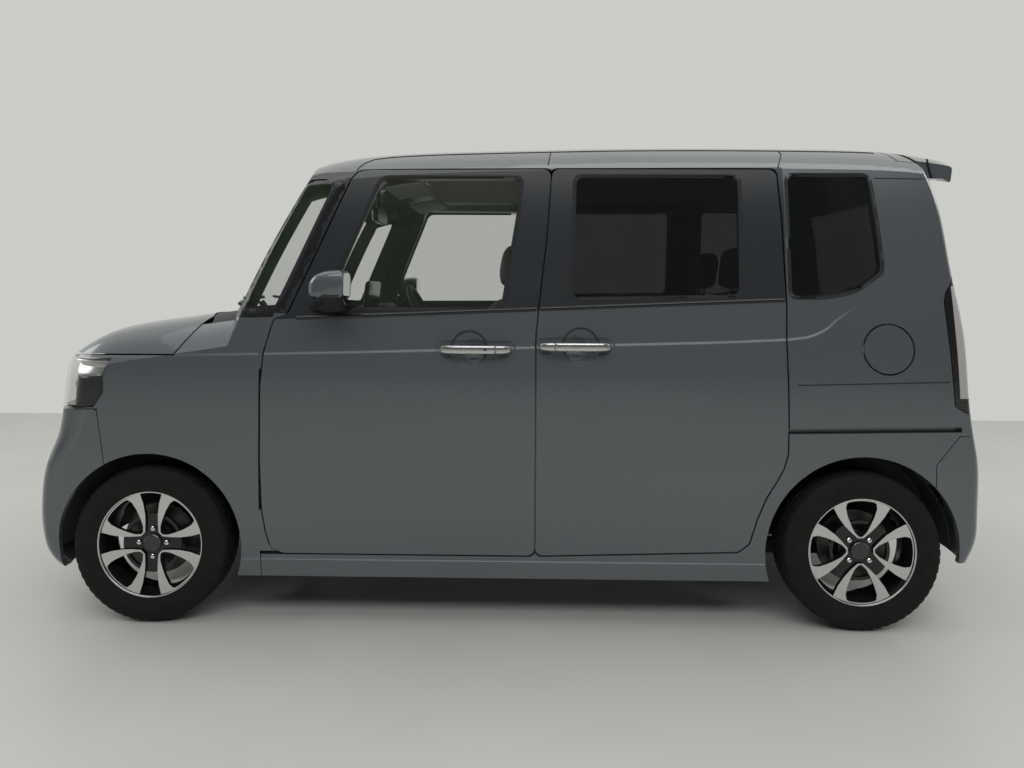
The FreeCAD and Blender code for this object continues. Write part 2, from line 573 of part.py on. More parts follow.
# body sides: pillars, roof rails, sills and rear quarters
side_region = across([(s.cabin_front_x, s.underside_z), (tail_x, s.underside_z),
                      (tail_x, s.body_height), (s.screen_base_x, s.body_height),
                      (s.screen_base_x, s.belt_z), (s.cabin_front_x, s.belt_z)],
                     -outside_y, -s.roof_edge_y * 0.7)
side_frame = hull(0).common(side_region)
for opening in (upper_void, lower_void, fender_zone, rear_bumper_zone,
                tail_zone.cut(hull(s.flange_depth)), gate_zone, roof_zone, screen_zone,
                cowl_zone, hinge_relief, fuel_round(s.fuel_lid_radius + s.panel_gap),
                slide_slot, rear_arch(), front_arch(s.liner_sheet + s.liner_gap + s.seam)):
    side_frame = side_frame.cut(opening)
side_frame = side_frame.cut(door_opening(door_outline) + door_opening(slide_outline))
side_frame = side_frame.cut([window_tool(rear_window),
                             window_tool(quarter_window).cut(pillar_zone),
                             fuel_recess.cut(fuel_round(s.fuel_lid_radius))])
side_frame = max(side_frame.Solids, key=lambda part: part.Volume)

keep("side_frames", both(side_frame))
keep("sliding_doors", both(slide_door))
quarter_pane = window_pane(quarter_window).cut(pillar_zone)
quarter_pane = max(quarter_pane.Solids, key=lambda part: part.Volume)
keep("side_glass", Part.Compound([both(slide_pane), both(window_pane(rear_window)),
                                  both(quarter_pane)]))
keep("front_door_left", front_door)
keep("front_door_right", mirrored(front_door))
keep("front_door_glass_left", front_pane)
keep("front_door_glass_right", mirrored(front_pane))

# roof, windscreen, bonnet and cowl
roof_panel = hull(0).common(roof_region(s.seat_gap))
roof_panel = roof_panel.cut([hull(s.pillar_wall), gate_zone])
roof_panel = max(roof_panel.Solids, key=lambda part: part.Volume)
keep("roof_panel", roof_panel)
screen_pane = along(grown(screen_outline, -s.seat_gap), nose_x, s.quarter_rear_x, s.window_radius)
screen = sheet_layer(s.glass_sink, s.glass_sink + s.glass_sheet, screen_pane)
screen = screen.cut(roof_tool(s.header_depth + s.seat_gap))
keep("windscreen", max(screen.Solids, key=lambda part: part.Volume))
bonnet_region = across(grown(bonnet_outline, -half_gap), -outside_y, outside_y)
bonnet = sheet_layer(0, s.panel_skin, bonnet_region)
bonnet = bonnet.common(screen_tool(0, s.cowl_depth + s.panel_gap))
keep("bonnet", bonnet)
cowl_box = box(nose_x, s.quarter_front_x + s.cowl_depth * 2, -s.cowl_half + s.seam,
               s.cowl_half - s.seam, s.cowl_low_z, s.screen_low_z - s.seat_gap * 2)
cowl = sheet_layer(s.glass_sink, s.panel_skin, cowl_box)
cowl = cowl.cut(screen_tool(0, s.cowl_depth))
cowl = max(cowl.Solids, key=lambda part: part.Volume)
keep("cowl_panel", cowl)

# front wings, bumpers, grille and lamps
bumper_zone = across(grown(bumper_outline, s.seam), -outside_y, outside_y)
lamp_zone = across(grown(lamp_outline, s.seam), -outside_y, outside_y)
bonnet_zone = across(grown(bonnet_outline, half_gap), -outside_y, outside_y)
fender = sheet_layer(0, s.panel_skin, box(nose_x, s.door_front_x - half_gap, -outside_y,
                                          -s.fender_inner_y, 0, s.belt_z))
fender = fender.cut([bumper_zone, lamp_zone, bonnet_zone, cowl_zone, front_arch()])
fender = max(fender.Solids, key=lambda part: part.Volume)
keep("front_fenders", both(fender))
bumper_shell = sheet_layer(0, s.panel_skin, across(bumper_outline, -outside_y, outside_y,
                                                   s.lamp_radius))
intake = along([(-s.intake_half, s.intake_low_z), (s.intake_half, s.intake_low_z),
                (s.intake_half, s.intake_high_z), (-s.intake_half, s.intake_high_z)],
               nose_x - s.overrun, front_axle_x, s.window_radius)
bumper_shell = bumper_shell.cut([intake, front_arch(), mirrored(front_arch())])
keep("front_bumper", max(bumper_shell.Solids, key=lambda part: part.Volume))
rear_shell = sheet_layer(0, s.panel_skin, across(rear_bumper_outline, -outside_y, outside_y))
rear_shell = rear_shell.cut([rear_arch(), mirrored(rear_arch())])
keep("rear_bumper", max(rear_shell.Solids, key=lambda part: part.Volume))
lamp_region = across(lamp_outline, -outside_y, -s.lamp_inner_y, s.lamp_radius)
keep("headlamps", both(sheet_layer(0, s.glass_sink + s.glass_sheet, lamp_region)))
lamp_bowl = sheet_layer(s.glass_sink + s.glass_sheet, s.pillar_wall,
                        across(grown(lamp_outline, -s.seam), -outside_y, -s.lamp_inner_y - s.seam))
lamp_hollow = across(grown(lamp_outline, -s.seam * 3), -outside_y, -s.lamp_inner_y - s.seam * 3)
keep("headlamp_housings", both(lamp_bowl.cut(lamp_hollow.common(hull(s.glass_sink)).cut(
    lamp_hollow.common(hull(s.flange_depth))))))
grille_region = box(nose_x - s.overrun, s.lamp_rear_x, -s.lamp_inner_y + s.seam,
                    s.lamp_inner_y - s.seam, s.bumper_top_z + s.seam, s.lamp_high_z)
grille = sheet_layer(s.glass_sink, s.pillar_wall, grille_region)
slot_count = int((s.lamp_high_z - s.lamp_low_z - s.grille_edge * 2 + s.grille_bar)
                 // (s.grille_slot + s.grille_bar))
for index in range(slot_count):
    low_z = s.lamp_low_z + s.grille_edge + index * (s.grille_slot + s.grille_bar)
    slot = box(nose_x - s.overrun, s.lamp_rear_x, -s.lamp_inner_y + s.grille_edge * 2,
               s.lamp_inner_y - s.grille_edge * 2, low_z, low_z + s.grille_slot)
    grille = grille.cut(slot.cut(hull(s.flange_depth)))
keep("grille", grille)
tail_region = across(tail_outline, -outside_y, -s.tail_inner_y)
keep("tail_lamps", both(sheet_layer(0, s.flange_depth, tail_region)))

# tailgate with its glass and spoiler
gate_region = along(gate_outline, s.gate_front_x, tail_x + s.overrun)
gate = sheet_layer(0, s.pillar_wall, gate_region)
gate_window = along(gate_glass_outline, rear_axle_x, tail_x + s.overrun, s.window_radius)
gate = gate.cut(gate_window)
keep("tailgate", max(gate.Solids, key=lambda part: part.Volume))
gate_pane = along(grown(gate_glass_outline, -s.seat_gap), rear_axle_x, tail_x + s.overrun,
                  s.window_radius)
keep("tailgate_glass", sheet_layer(s.glass_sink, s.glass_sink + s.glass_sheet, gate_pane))
wing = across([(s.spoiler_front_x, s.body_height + s.overrun),
               (s.spoiler_tip_x, s.body_height + s.overrun), (s.spoiler_tip_x, s.spoiler_tip_z),
               ((s.spoiler_tip_x + s.spoiler_front_x) / 2, s.spoiler_low_z),
               (s.spoiler_front_x, s.spoiler_low_z)], -s.spoiler_half, s.spoiler_half)
clear_of_gate = hull(0).copy()
clear_of_gate.translate(V(s.seat_gap, 0, s.seat_gap))
wing = wing.cut([roof_tool(0), clear_of_gate])
keep("roof_spoiler", max(wing.Solids, key=lambda part: part.Volume))

# round fuel lid with its hinge barrel
lid = sheet_layer(0, s.glass_sink + s.glass_sheet, fuel_round(s.fuel_lid_radius))
barrel_low = V(fuel_hinge_x, -fuel_y + s.fuel_hinge_sink, s.fuel_lid_z - s.fuel_barrel_length / 2)
barrel = rod(barrel_low, barrel_low + V(0, 0, s.fuel_barrel_length), s.fuel_barrel_radius)
tab = box(fuel_hinge_x, fuel_hinge_x + s.fuel_hinge_out + s.panel_gap,
          -fuel_y + s.fuel_hinge_sink - s.seat_gap,
          -fuel_y + s.fuel_hinge_sink + s.fuel_barrel_radius,
          s.fuel_lid_z - s.fuel_barrel_length / 2, s.fuel_lid_z + s.fuel_barrel_length / 2)
keep("fuel_flap", lid.fuse([barrel, tab]).removeSplitter())

# floor, inner walls, wheel housings, rails and strut towers
inner_y = s.wall_inner_y - s.seat_gap
floor_low_z = s.floor_top_z - s.floor_sheet


def seated(inset, direction):
    """The inside of the body at an inset, held back along X by the seat gap."""
    inside = hull(inset).copy()
    inside.translate(V(direction * s.seat_gap, 0, 0))
    return inside


pan = [box(s.cabin_front_x - s.wall_sheet, s.kick_up_x, -inner_y, inner_y,
           floor_low_z, s.floor_top_z),
       box(s.cabin_front_x - s.wall_sheet, s.cabin_front_x, -inner_y, inner_y,
           floor_low_z, s.cowl_low_z),
       box(s.cabin_front_x - s.wall_sheet, s.cabin_front_x, -s.dash_half, s.dash_half,
           s.cowl_low_z, s.toe_top_z),
       box(s.dash_front_x, s.cabin_front_x, -s.dash_half, s.dash_half,
           s.toe_top_z - s.wall_sheet, s.toe_top_z).cut(screen_tool(s.flange_depth, 0)),
       box(s.kick_up_x, s.kick_up_x + s.wall_sheet, -inner_y, inner_y,
           floor_low_z, s.luggage_floor_z),
       box(s.kick_up_x, s.rear_panel_x + s.wall_sheet, -inner_y, inner_y,
           s.luggage_floor_z - s.wall_sheet, s.luggage_floor_z),
       box(s.rear_panel_x, s.rear_panel_x + s.wall_sheet, -s.rear_panel_half, s.rear_panel_half,
           s.rear_panel_low_z, s.rear_panel_high_z).common(seated(s.pillar_wall, -1)),
       box(s.rear_panel_x, tail_x, -s.beam_half, s.beam_half, s.beam_low_z,
           s.beam_high_z).common(seated(s.panel_skin, -1)),
       box(nose_x, s.rail_front_x + s.wall_sheet, -s.front_panel_half, s.front_panel_half,
           s.beam_low_z, s.front_panel_high_z).common(seated(s.panel_skin, 1)),
       box(s.shelf_front_x, s.shelf_rear_x, -s.shelf_half, s.shelf_half, s.shelf_low_z,
           s.shelf_low_z + s.wall_sheet).common(seated(s.pillar_wall, 1)),
       box(s.rail_front_x, s.rail_front_x + s.wall_sheet, -s.front_panel_half,
           s.front_panel_half, s.front_panel_low_z, s.front_panel_high_z)]
for side in (-1, 1):
    pan.append(box(s.rail_front_x, s.cabin_front_x, side * s.rail_inner_y,
                   side * (s.rail_inner_y + s.rail_width), s.floor_top_z,
                   s.floor_top_z + s.rail_height))
    pan.append(box(s.shelf_rear_x - s.post_sheet, s.shelf_rear_x, side * s.rail_inner_y,
                   side * (s.rail_inner_y + s.rail_width), s.floor_top_z,
                   s.shelf_low_z + s.wall_sheet))
    rest = hull(s.panel_skin).copy()
    rest.translate(V(0, 0, -s.seat_gap))
    pan.append(rod(V(s.stop_x, side * s.stop_y, s.shelf_low_z),
                   V(s.stop_x, side * s.stop_y, s.body_height), s.stop_radius).common(rest))
    pan.append(rod(V(s.rear_panel_x, side * s.beam_half, s.gate_stop_z),
                   V(tail_x, side * s.beam_half, s.gate_stop_z),
                   s.stop_radius).common(seated(s.pillar_wall, -1)))
floor = pan[0].multiFuse(pan[1:])
cavities = [front_arch(s.liner_gap), rear_arch()]
floor = floor.cut(cavities + [mirrored(cavity) for cavity in cavities])


kingpin_low = V(front_axle_x, -s.kingpin_low_y, s.kingpin_low_z)
kingpin_top = V(front_axle_x + s.kingpin_rake, -s.kingpin_top_y, s.kingpin_top_z)


def on_kingpin(z):
    """The place on the left-hand steering axis at a height."""
    share = (z - s.kingpin_low_z) / (s.kingpin_top_z - s.kingpin_low_z)
    return kingpin_low + (kingpin_top - kingpin_low) * share


def wheel_liner(axle_x, inner_radius, wall_y, outer_y, low_z):
    """A left-hand wheel housing: half a ring and the disc that closes its inner side."""
    centre = V(axle_x, -wall_y + s.liner_sheet, s.tyre_radius)
    outer = Part.makeCylinder(inner_radius + s.liner_sheet, outer_y - wall_y + s.liner_sheet,
                              centre, V(0, -1, 0))
    inner = Part.makeCylinder(inner_radius, outer_y, centre - V(0, s.liner_sheet, 0), V(0, -1, 0))
    above = box(nose_x, tail_x, -outer_y, 0, low_z, s.body_height)
    return outer.cut(inner).common(above)


front_liner = wheel_liner(front_axle_x, s.front_arch_radius + s.liner_gap, s.liner_inner_y,
                          s.liner_outer_y, s.liner_low_z)
strut_hole = rod(V(front_axle_x, -s.strut_low_y, s.tyre_radius),
                 V(front_axle_x + s.kingpin_rake, -s.kingpin_top_y, s.kingpin_top_z),
                 s.strut_hole_radius)
front_liner = front_liner.common(hull(s.flange_depth)).cut(strut_hole)
rear_liner = wheel_liner(rear_axle_x, s.rear_arch_radius, s.rear_liner_inner_y,
                         inner_y, s.tyre_radius)
carrier_reach = s.rear_carrier_half + s.panel_gap
rear_liner = rear_liner.cut(box(rear_axle_x - carrier_reach, rear_axle_x + carrier_reach,
                                -inner_y, 0, s.tyre_radius, s.tyre_radius + carrier_reach))
tower_x = front_axle_x + s.kingpin_rake
tower_low_z = s.tyre_radius + s.front_arch_radius
tower_under_z = s.kingpin_top_z + s.tower_gap
tower = [box(tower_x - s.tower_half, tower_x + s.tower_half, -s.tower_outer_y,
             -s.liner_inner_y + s.liner_sheet, tower_under_z,
             tower_under_z + s.tower_sheet),
         box(tower_x - s.tower_half, tower_x + s.tower_half, -s.liner_inner_y,
             -s.liner_inner_y + s.liner_sheet, tower_low_z - s.tower_half,
             tower_under_z + s.tower_sheet),
         box(tower_x + s.tower_half, s.cabin_front_x - s.wall_sheet / 2, -s.liner_inner_y,
             -s.liner_inner_y + s.liner_sheet * 2, s.kingpin_top_z - s.tower_half,
             tower_under_z + s.tower_sheet),
         box(tower_x - s.tower_half, tower_x + s.tower_half, -s.liner_inner_y + s.liner_sheet,
             -s.rail_inner_y - s.rail_width, s.floor_top_z + s.rail_height - s.liner_sheet,
             s.floor_top_z + s.rail_height)]
pivot_bore = rod(on_kingpin(s.kingpin_top_z), on_kingpin(tower_under_z + s.tower_sheet * 2),
                 s.pin_radius + s.seam)
tower[0] = tower[0].cut(pivot_bore)
left_parts = [front_liner, rear_liner] + tower
floor = floor.multiFuse(left_parts + [mirrored(part) for part in left_parts])
keep("underbody", floor.removeSplitter())

# front subframe with its lower arms and steering rack
subframe_low_z = s.arm_low_z
sub = [box(s.subframe_front_x, s.subframe_rear_x, -s.arm_inner_y, s.arm_inner_y,
           subframe_low_z, subframe_low_z + s.subframe_height),
       rod(V(s.rack_x, -s.rack_reach, s.rack_z), V(s.rack_x, s.rack_reach, s.rack_z),
           s.rack_radius),
       box(s.rack_x - s.rack_radius, s.rack_x + s.rack_radius, -s.rack_reach / 2,
           s.rack_reach / 2, subframe_low_z, s.rack_z)]
for mount_x in (s.engine_front_x + s.mount_length, s.subframe_rear_x - s.mount_length * 3):
    sub.append(box(mount_x, mount_x + s.mount_length, -s.mount_half, s.mount_half,
                   subframe_low_z, s.engine_low_z - s.seat_gap))
arm_points = [(front_axle_x - s.arm_inner_half, -s.arm_inner_y + s.arm_tip_radius),
              (front_axle_x + s.arm_inner_half, -s.arm_inner_y + s.arm_tip_radius),
              (front_axle_x + s.arm_tip_radius, -s.kingpin_low_y),
              (front_axle_x - s.arm_tip_radius, -s.kingpin_low_y)]
arm = outline_face(arm_points, lambda x, y: V(x, y, s.arm_low_z)).extrude(V(0, 0, s.arm_sheet))
arm = arm.fuse(rod(V(front_axle_x, -s.kingpin_low_y, s.arm_low_z),
                   V(front_axle_x, -s.kingpin_low_y, s.arm_low_z + s.arm_sheet),
                   s.arm_tip_radius))
arm = arm.cut(rod(on_kingpin(0), on_kingpin(s.carrier_low_z), s.pin_radius + s.seat_gap))
keep("front_subframe", sub[0].multiFuse(sub[1:] + [arm, mirrored(arm)]).removeSplitter())

# steering knuckles with strut, spring and caliper
strut_top = V(front_axle_x + s.kingpin_rake, -s.kingpin_top_y, s.kingpin_top_z)
strut_low = V(front_axle_x, -s.strut_low_y, s.strut_low_z)


def on_strut(z):
    """The place on the left-hand strut at a height."""
    return strut_low + (strut_top - strut_low) * ((z - strut_low.z) / (strut_top.z - strut_low.z))


hub_y = -wheel_y
carrier = box(front_axle_x - s.carrier_half, front_axle_x + s.carrier_half,
              -s.strut_low_y, -s.carrier_outer_y, s.carrier_low_z, s.carrier_top_z)
bearing = rod(V(front_axle_x, -s.carrier_outer_y, s.tyre_radius),
              V(front_axle_x, hub_y + s.bearing_back, s.tyre_radius), s.bearing_radius)
stub = rod(V(front_axle_x, -s.carrier_outer_y, s.tyre_radius),
           V(front_axle_x, hub_y - s.stub_bore_end + s.seam, s.tyre_radius), s.stub_radius)
strut = rod(on_strut(s.strut_low_z), on_strut(s.kingpin_top_z - s.perch_sheet), s.strut_radius)
low_perch = rod(on_strut(s.spring_low_z - s.perch_sheet), on_strut(s.spring_low_z),
                s.spring_radius + s.perch_sheet)
top_perch = rod(strut_top - V(0, 0, s.perch_sheet), strut_top, s.spring_radius)
coil = rod(on_strut(s.spring_low_z - s.seat_gap), strut_top - V(0, 0, s.perch_sheet / 2),
           s.spring_radius - s.seat_gap)
boss = rod(on_kingpin(s.carrier_low_z), on_kingpin(s.tyre_radius), s.boss_radius)
pin = rod(on_kingpin(s.pin_low_z), on_kingpin(s.tyre_radius), s.pin_radius)
pivot = rod(on_kingpin(s.kingpin_top_z - s.perch_sheet),
            on_kingpin(tower_under_z + s.tower_sheet / 2), s.pin_radius)
caliper = box(front_axle_x + s.caliper_inner, front_axle_x + s.caliper_outer,
              hub_y + s.caliper_back, hub_y - s.caliper_front,
              s.tyre_radius - s.caliper_half, s.tyre_radius + s.caliper_half)
caliper = caliper.cut(Part.makeCylinder(
    s.brake_radius + s.panel_gap, s.brake_back - s.brake_front + s.panel_gap * 2,
    V(front_axle_x, hub_y + s.brake_back + s.panel_gap, s.tyre_radius), V(0, -1, 0)))
bracket = box(front_axle_x, front_axle_x + s.caliper_outer - s.seam, -s.carrier_outer_y,
              hub_y + s.bearing_back, s.tyre_radius - s.boss_radius,
              s.tyre_radius + s.boss_radius)
knuckle = carrier.multiFuse([bearing, stub, strut, low_perch, top_perch, coil, boss, pin,
                             pivot, caliper, bracket])
keep("knuckle_left", knuckle.removeSplitter())
keep("knuckle_right", mirrored(knuckle.removeSplitter()))

# rear axle beam with trailing arms, carriers, springs and dampers
beam_parts = [rod(V(s.beam_x, -s.trailing_y, s.beam_z), V(s.beam_x, s.trailing_y, s.beam_z),
                  s.beam_radius)]
rear_left = []
for side in (-1, 1):
    y = side * s.trailing_y
    beam_parts.append(box(s.trailing_front_x, rear_axle_x + s.rear_carrier_half,
                          y - s.trailing_half, y + s.trailing_half,
                          s.beam_z - s.trailing_height / 2, s.beam_z + s.trailing_height / 2))
    beam_parts.append(box(rear_axle_x - s.rear_carrier_half, rear_axle_x + s.rear_carrier_half,
                          y - side * s.trailing_half, side * s.carrier_outer_y,
                          s.beam_z - s.trailing_height / 2, s.tyre_radius + s.rear_carrier_half))
    beam_parts.append(rod(V(rear_axle_x, side * s.carrier_outer_y, s.tyre_radius),
                          V(rear_axle_x, side * (wheel_y + s.stub_bore_end - s.seam),
                            s.tyre_radius), s.stub_radius))
    rear_left.append(rod(V(s.damper_low_x, y, s.beam_z),
                         V(s.damper_top_x, y, s.luggage_floor_z - s.wall_sheet - s.seam),
                         s.damper_radius))
    beam_parts.append(box(rear_axle_x, s.damper_low_x + s.damper_radius, y - s.trailing_half,
                          y + s.trailing_half, s.beam_z - s.trailing_height / 2,
                          s.beam_z + s.trailing_height / 2))
beam = beam_parts[0].multiFuse(beam_parts[1:] + rear_left)
keep("rear_axle_beam", beam.removeSplitter())
spring_low_z = s.beam_z + s.beam_radius + s.seat_gap
spring_top_z = s.luggage_floor_z - s.wall_sheet - s.seat_gap
rear_spring = rod(V(s.beam_x, -s.rear_spring_y, spring_low_z),
                  V(s.beam_x, -s.rear_spring_y, spring_top_z), s.rear_spring_radius)
rear_spring = rear_spring.cut(rod(V(s.beam_x, -s.rear_spring_y, 0),
                                  V(s.beam_x, -s.rear_spring_y, s.body_height),
                                  s.rear_spring_radius - s.rear_spring_wall))
keep("rear_springs", both(rear_spring))

# exhaust pipe and silencer
beam_top_z = s.beam_z + s.beam_radius
pipe_z = beam_top_z + s.exhaust_radius + s.silencer_radius / 2
low_pipe_z = s.arm_low_z + s.subframe_height
pipe = [V(s.subframe_rear_x + s.exhaust_radius, s.rail_inner_y / 2, low_pipe_z),
        V(s.cabin_front_x, s.rail_inner_y, low_pipe_z),
        V(s.tank_front_x * 2, s.tank_width / 2 + s.silencer_radius, low_pipe_z),
        V(s.kick_up_x * 0.8, s.tank_width / 2 + s.silencer_radius, low_pipe_z),
        V(s.beam_x - s.trailing_y / 3, s.tank_width / 2 - s.silencer_radius, pipe_z),
        V(s.damper_low_x, s.tank_width / 2 - s.silencer_radius, pipe_z),
        V(s.damper_low_x + s.silencer_length, s.tank_width / 2 - s.silencer_radius, pipe_z),
        V(s.rear_panel_x, s.tank_width / 2 - s.silencer_radius, s.rear_bumper_low_z)]
tube = [rod(start, end, s.exhaust_radius) for start, end in zip(pipe, pipe[1:])]
tube += [Part.makeSphere(s.exhaust_radius, point) for point in pipe[1:-1]]
tube.append(rod(pipe[5], pipe[6], s.silencer_radius))
keep("exhaust", tube[0].multiFuse(tube[1:]).removeSplitter())

# dashboard with the steering column
dash_outline = [(s.cabin_front_x + s.seat_gap, s.dash_low_z),
                (s.cabin_front_x + s.seat_gap, s.toe_top_z + s.seat_gap),
                (s.dash_front_x, s.toe_top_z + s.seat_gap), (s.dash_front_x, s.belt_z - s.seam),
                (s.cabin_front_x, s.dash_top_z + s.wall_sheet),
                (s.dash_rear_x - s.cowl_depth, s.dash_top_z),
                (s.dash_rear_x, s.dash_top_z - s.cowl_depth),
                (s.dash_rear_x - s.wall_sheet, (s.dash_low_z + s.dash_top_z) / 2 - s.cowl_depth),
                (s.dash_rear_x - s.cowl_depth * 1.5, s.dash_low_z)]
dash = across(dash_outline, -s.dash_half + s.seam, s.dash_half - s.seam, s.lamp_radius)
toe_top = box(s.dash_front_x, s.cabin_front_x + s.seat_gap, -s.dash_half, s.dash_half,
              s.dash_low_z, s.toe_top_z + s.seat_gap)
dash = dash.cut([screen_tool(s.flange_depth, 0), toe_top])
tilt = math.radians(s.steer_tilt)
steer_axis = V(math.cos(tilt), 0, math.sin(tilt))
steer_centre = V(s.steer_wheel_x, s.steer_wheel_y, s.steer_wheel_z)
column_top = steer_centre - steer_axis * (s.steer_hub_height + s.panel_gap)
column = rod(column_top - steer_axis * s.column_length, column_top, s.column_radius)
shaft_bore = rod(column_top - steer_axis * (s.steer_shaft_length + s.seam), column_top,
                 s.steer_shaft_radius + s.seat_gap)
keep("dashboard", dash.fuse(column).cut(shaft_bore).removeSplitter())

# seats, as shares of their reach behind and height above the middle of the cushion
CUSHION_SHARES = ((-0.562, 0.071), (-0.589, 0.243), (-0.483, 0.284), (0.562, 0.243),
                  (0.589, 0.107), (0.562, 0.071))
BACK_SHARES = ((0.371, 0.225), (0.652, 0.201), (1.000, 0.947), (0.944, 1.000),
               (0.787, 1.000), (0.730, 0.947))
REST_SHARES = ((0.775, 1.012), (0.989, 1.012), (1.045, 1.195), (0.989, 1.225),
               (0.865, 1.225), (0.813, 1.195))
FOOT_SHARES = ((-0.500, -0.011), (0.500, -0.011), (0.480, 0.080), (-0.480, 0.080))


def seat(x, y, width, rest_places):
    """A seat on its foot, with a reclined back and a head rest at each place."""
    def part(shares, middle, part_width):
        outline = fitted(shares, x, x + s.seat_reach, s.seat_base_z, s.seat_base_z + s.seat_height)
        return across(outline, middle - part_width / 2, middle + part_width / 2, s.seat_radius)

    pieces = [part(CUSHION_SHARES, y, width), part(BACK_SHARES, y, width),
              across(fitted(FOOT_SHARES, x, x + s.seat_reach, s.seat_base_z,
                            s.seat_base_z + s.seat_height),
                     y - width / 2 + s.seat_foot, y + width / 2 - s.seat_foot)]
    for place in rest_places:
        pieces.append(part(REST_SHARES, place, s.head_rest_width))
        for post in (-1, 1):
            post_y = place + post * s.head_rest_width / 4
            low = V(x + s.seat_reach * 0.87, post_y, s.seat_base_z + s.seat_height * 0.97)
            high = V(x + s.seat_reach * 0.88, post_y, s.seat_base_z + s.seat_height * 1.05)
            pieces.append(rod(low, high, s.head_post_radius))
    return pieces[0].multiFuse(pieces[1:]).removeSplitter()


keep("front_seats", both(seat(s.front_seat_x, -s.front_seat_y, s.seat_width, [-s.front_seat_y])))
keep("rear_seats", seat(s.rear_seat_x, 0, s.bench_width, [-s.front_seat_y, s.front_seat_y]))

# door mirrors and handles
mirror_outline = [(s.mirror_front_x, s.mirror_low_z), (s.mirror_rear_x, s.mirror_low_z),
                  (s.mirror_rear_x - s.panel_gap, s.mirror_top_z),
                  ((s.mirror_front_x + s.mirror_rear_x) / 2, s.mirror_top_z - s.panel_gap),
                  (s.mirror_front_x, s.mirror_top_z - s.mirror_radius * 1.5)]
housing = across(mirror_outline, -s.mirror_outer_y, -s.mirror_inner_y, s.mirror_radius)
foot = across([(s.mirror_front_x - s.mirror_radius, s.mirror_foot_z),
               (s.mirror_rear_x - s.mirror_radius, s.mirror_foot_z),
               (s.mirror_rear_x - s.mirror_radius, s.mirror_foot_z + s.mirror_foot_sheet),
               (s.mirror_front_x, s.mirror_foot_z + s.mirror_foot_sheet)],
              -s.mirror_inner_y - s.panel_gap * 2, -s.wall_inner_y)
beside = hull(0).copy()
beside.translate(V(0, -s.seat_gap, 0))
mirror = housing.fuse(foot.cut(beside)).removeSplitter()
keep("mirror_left", mirror)
keep("mirror_right", mirrored(mirror))


def bar_handle(x, z):
    """A left-hand bar handle on two feet."""
    y = -side_y(z)
    bar = box(x - s.handle_length / 2, x + s.handle_length / 2, y - s.handle_stand,
              y - s.handle_stand + s.handle_sheet, z - s.handle_height / 2,
              z + s.handle_height / 2)
    bar = bar.makeFillet(s.handle_sheet / 3, bar.Edges)
    feet = []
    for end in (-1, 1):
        foot_x = x + end * (s.handle_length - s.handle_foot) / 2
        feet.append(box(foot_x - s.handle_foot / 3, foot_x + s.handle_foot / 3,
                        y - s.handle_stand + s.handle_sheet / 2, 0,
                        z - s.handle_height / 4, z + s.handle_height / 4).cut(beside))
    return bar.multiFuse(feet).removeSplitter()


door_handle = bar_handle(s.front_handle_x, s.handle_z)
keep("front_door_handle_left", door_handle)
keep("front_door_handle_right", mirrored(door_handle))
keep("sliding_door_handles", both(bar_handle(s.rear_handle_x, rear_handle_z)))


# pieces built as bodies from sketches that follow the sheet
def plane_of(body, role):
    """One of the planes of a body's own origin."""
    return next(part for part in body.Origin.OriginFeatures if part.Role == role)


def profile(body, name, role, corners):
    """A closed sketch whose corners follow expressions; None stands on the turning axis."""
    sketch = body.newObject("Sketcher::SketchObject", name)
    sketch.AttachmentSupport = (plane_of(body, role), [""])
    sketch.MapMode = "FlatFace"
    count = len(corners)
    ring = [V(math.cos(2 * math.pi * index / count), math.sin(2 * math.pi * index / count), 0)
            * s.tyre_width for index in range(count)]
    for index in range(count):
        sketch.addGeometry(Part.LineSegment(ring[index], ring[(index + 1) % count]), False)
    for index in range(count):
        sketch.addConstraint(Sketcher.Constraint("Coincident", index, 2, (index + 1) % count, 1))
    for index, (out, across_text) in enumerate(corners):
        if out is None:
            sketch.addConstraint(Sketcher.Constraint("PointOnObject", index, 1, -2))
        else:
            place = sketch.addConstraint(
                Sketcher.Constraint("DistanceX", -1, 1, index, 1, s.tyre_width))
            sketch.setExpression(f"Constraints[{place}]", out)
        place = sketch.addConstraint(
            Sketcher.Constraint("DistanceY", -1, 1, index, 1, s.tyre_width))
        sketch.setExpression(f"Constraints[{place}]", across_text)
    return sketch


def turned_body(label, corners, place):
    """A body turned about its own Y axis from a profile of (radius, outward) corners."""
    body = doc.addObject("PartDesign::Body", label)
    body.Label = label
    sketch = profile(body, label + "_profile", "XY_Plane", corners)
    turn = body.newObject("PartDesign::Revolution", label + "_turn")
    turn.Profile = sketch
    turn.ReferenceAxis = (sketch, ["V_Axis"])
    turn.Angle = 360
    body.Tip = turn
    body.Placement = place
    nodes.append(body)
    return body


TYRE_SEAT = "sizes.rim_flange_radius + sizes.seat_gap"
TYRE_CORNERS = (("sizes.tyre_bead_radius", "-sizes.tyre_bead_half"),
                (TYRE_SEAT, "-sizes.tyre_bead_half"),
                ("sizes.tyre_wall_radius", "-sizes.tyre_width / 2"),
                ("sizes.tyre_shoulder_radius", "-sizes.tyre_shoulder_half"),
                ("sizes.tyre_radius", "-sizes.tyre_tread_half"),
                ("sizes.tyre_radius", "sizes.tyre_tread_half"),
                ("sizes.tyre_shoulder_radius", "sizes.tyre_shoulder_half"),
                ("sizes.tyre_wall_radius", "sizes.tyre_width / 2"),
                (TYRE_SEAT, "sizes.tyre_bead_half"),
                ("sizes.tyre_bead_radius", "sizes.tyre_bead_half"))
BARREL = "sizes.tyre_bead_radius - sizes.seat_gap"
BARREL_INSIDE = "sizes.tyre_bead_radius - sizes.rim_wall"
LIP = "sizes.tyre_bead_half + sizes.rim_flange_sheet"
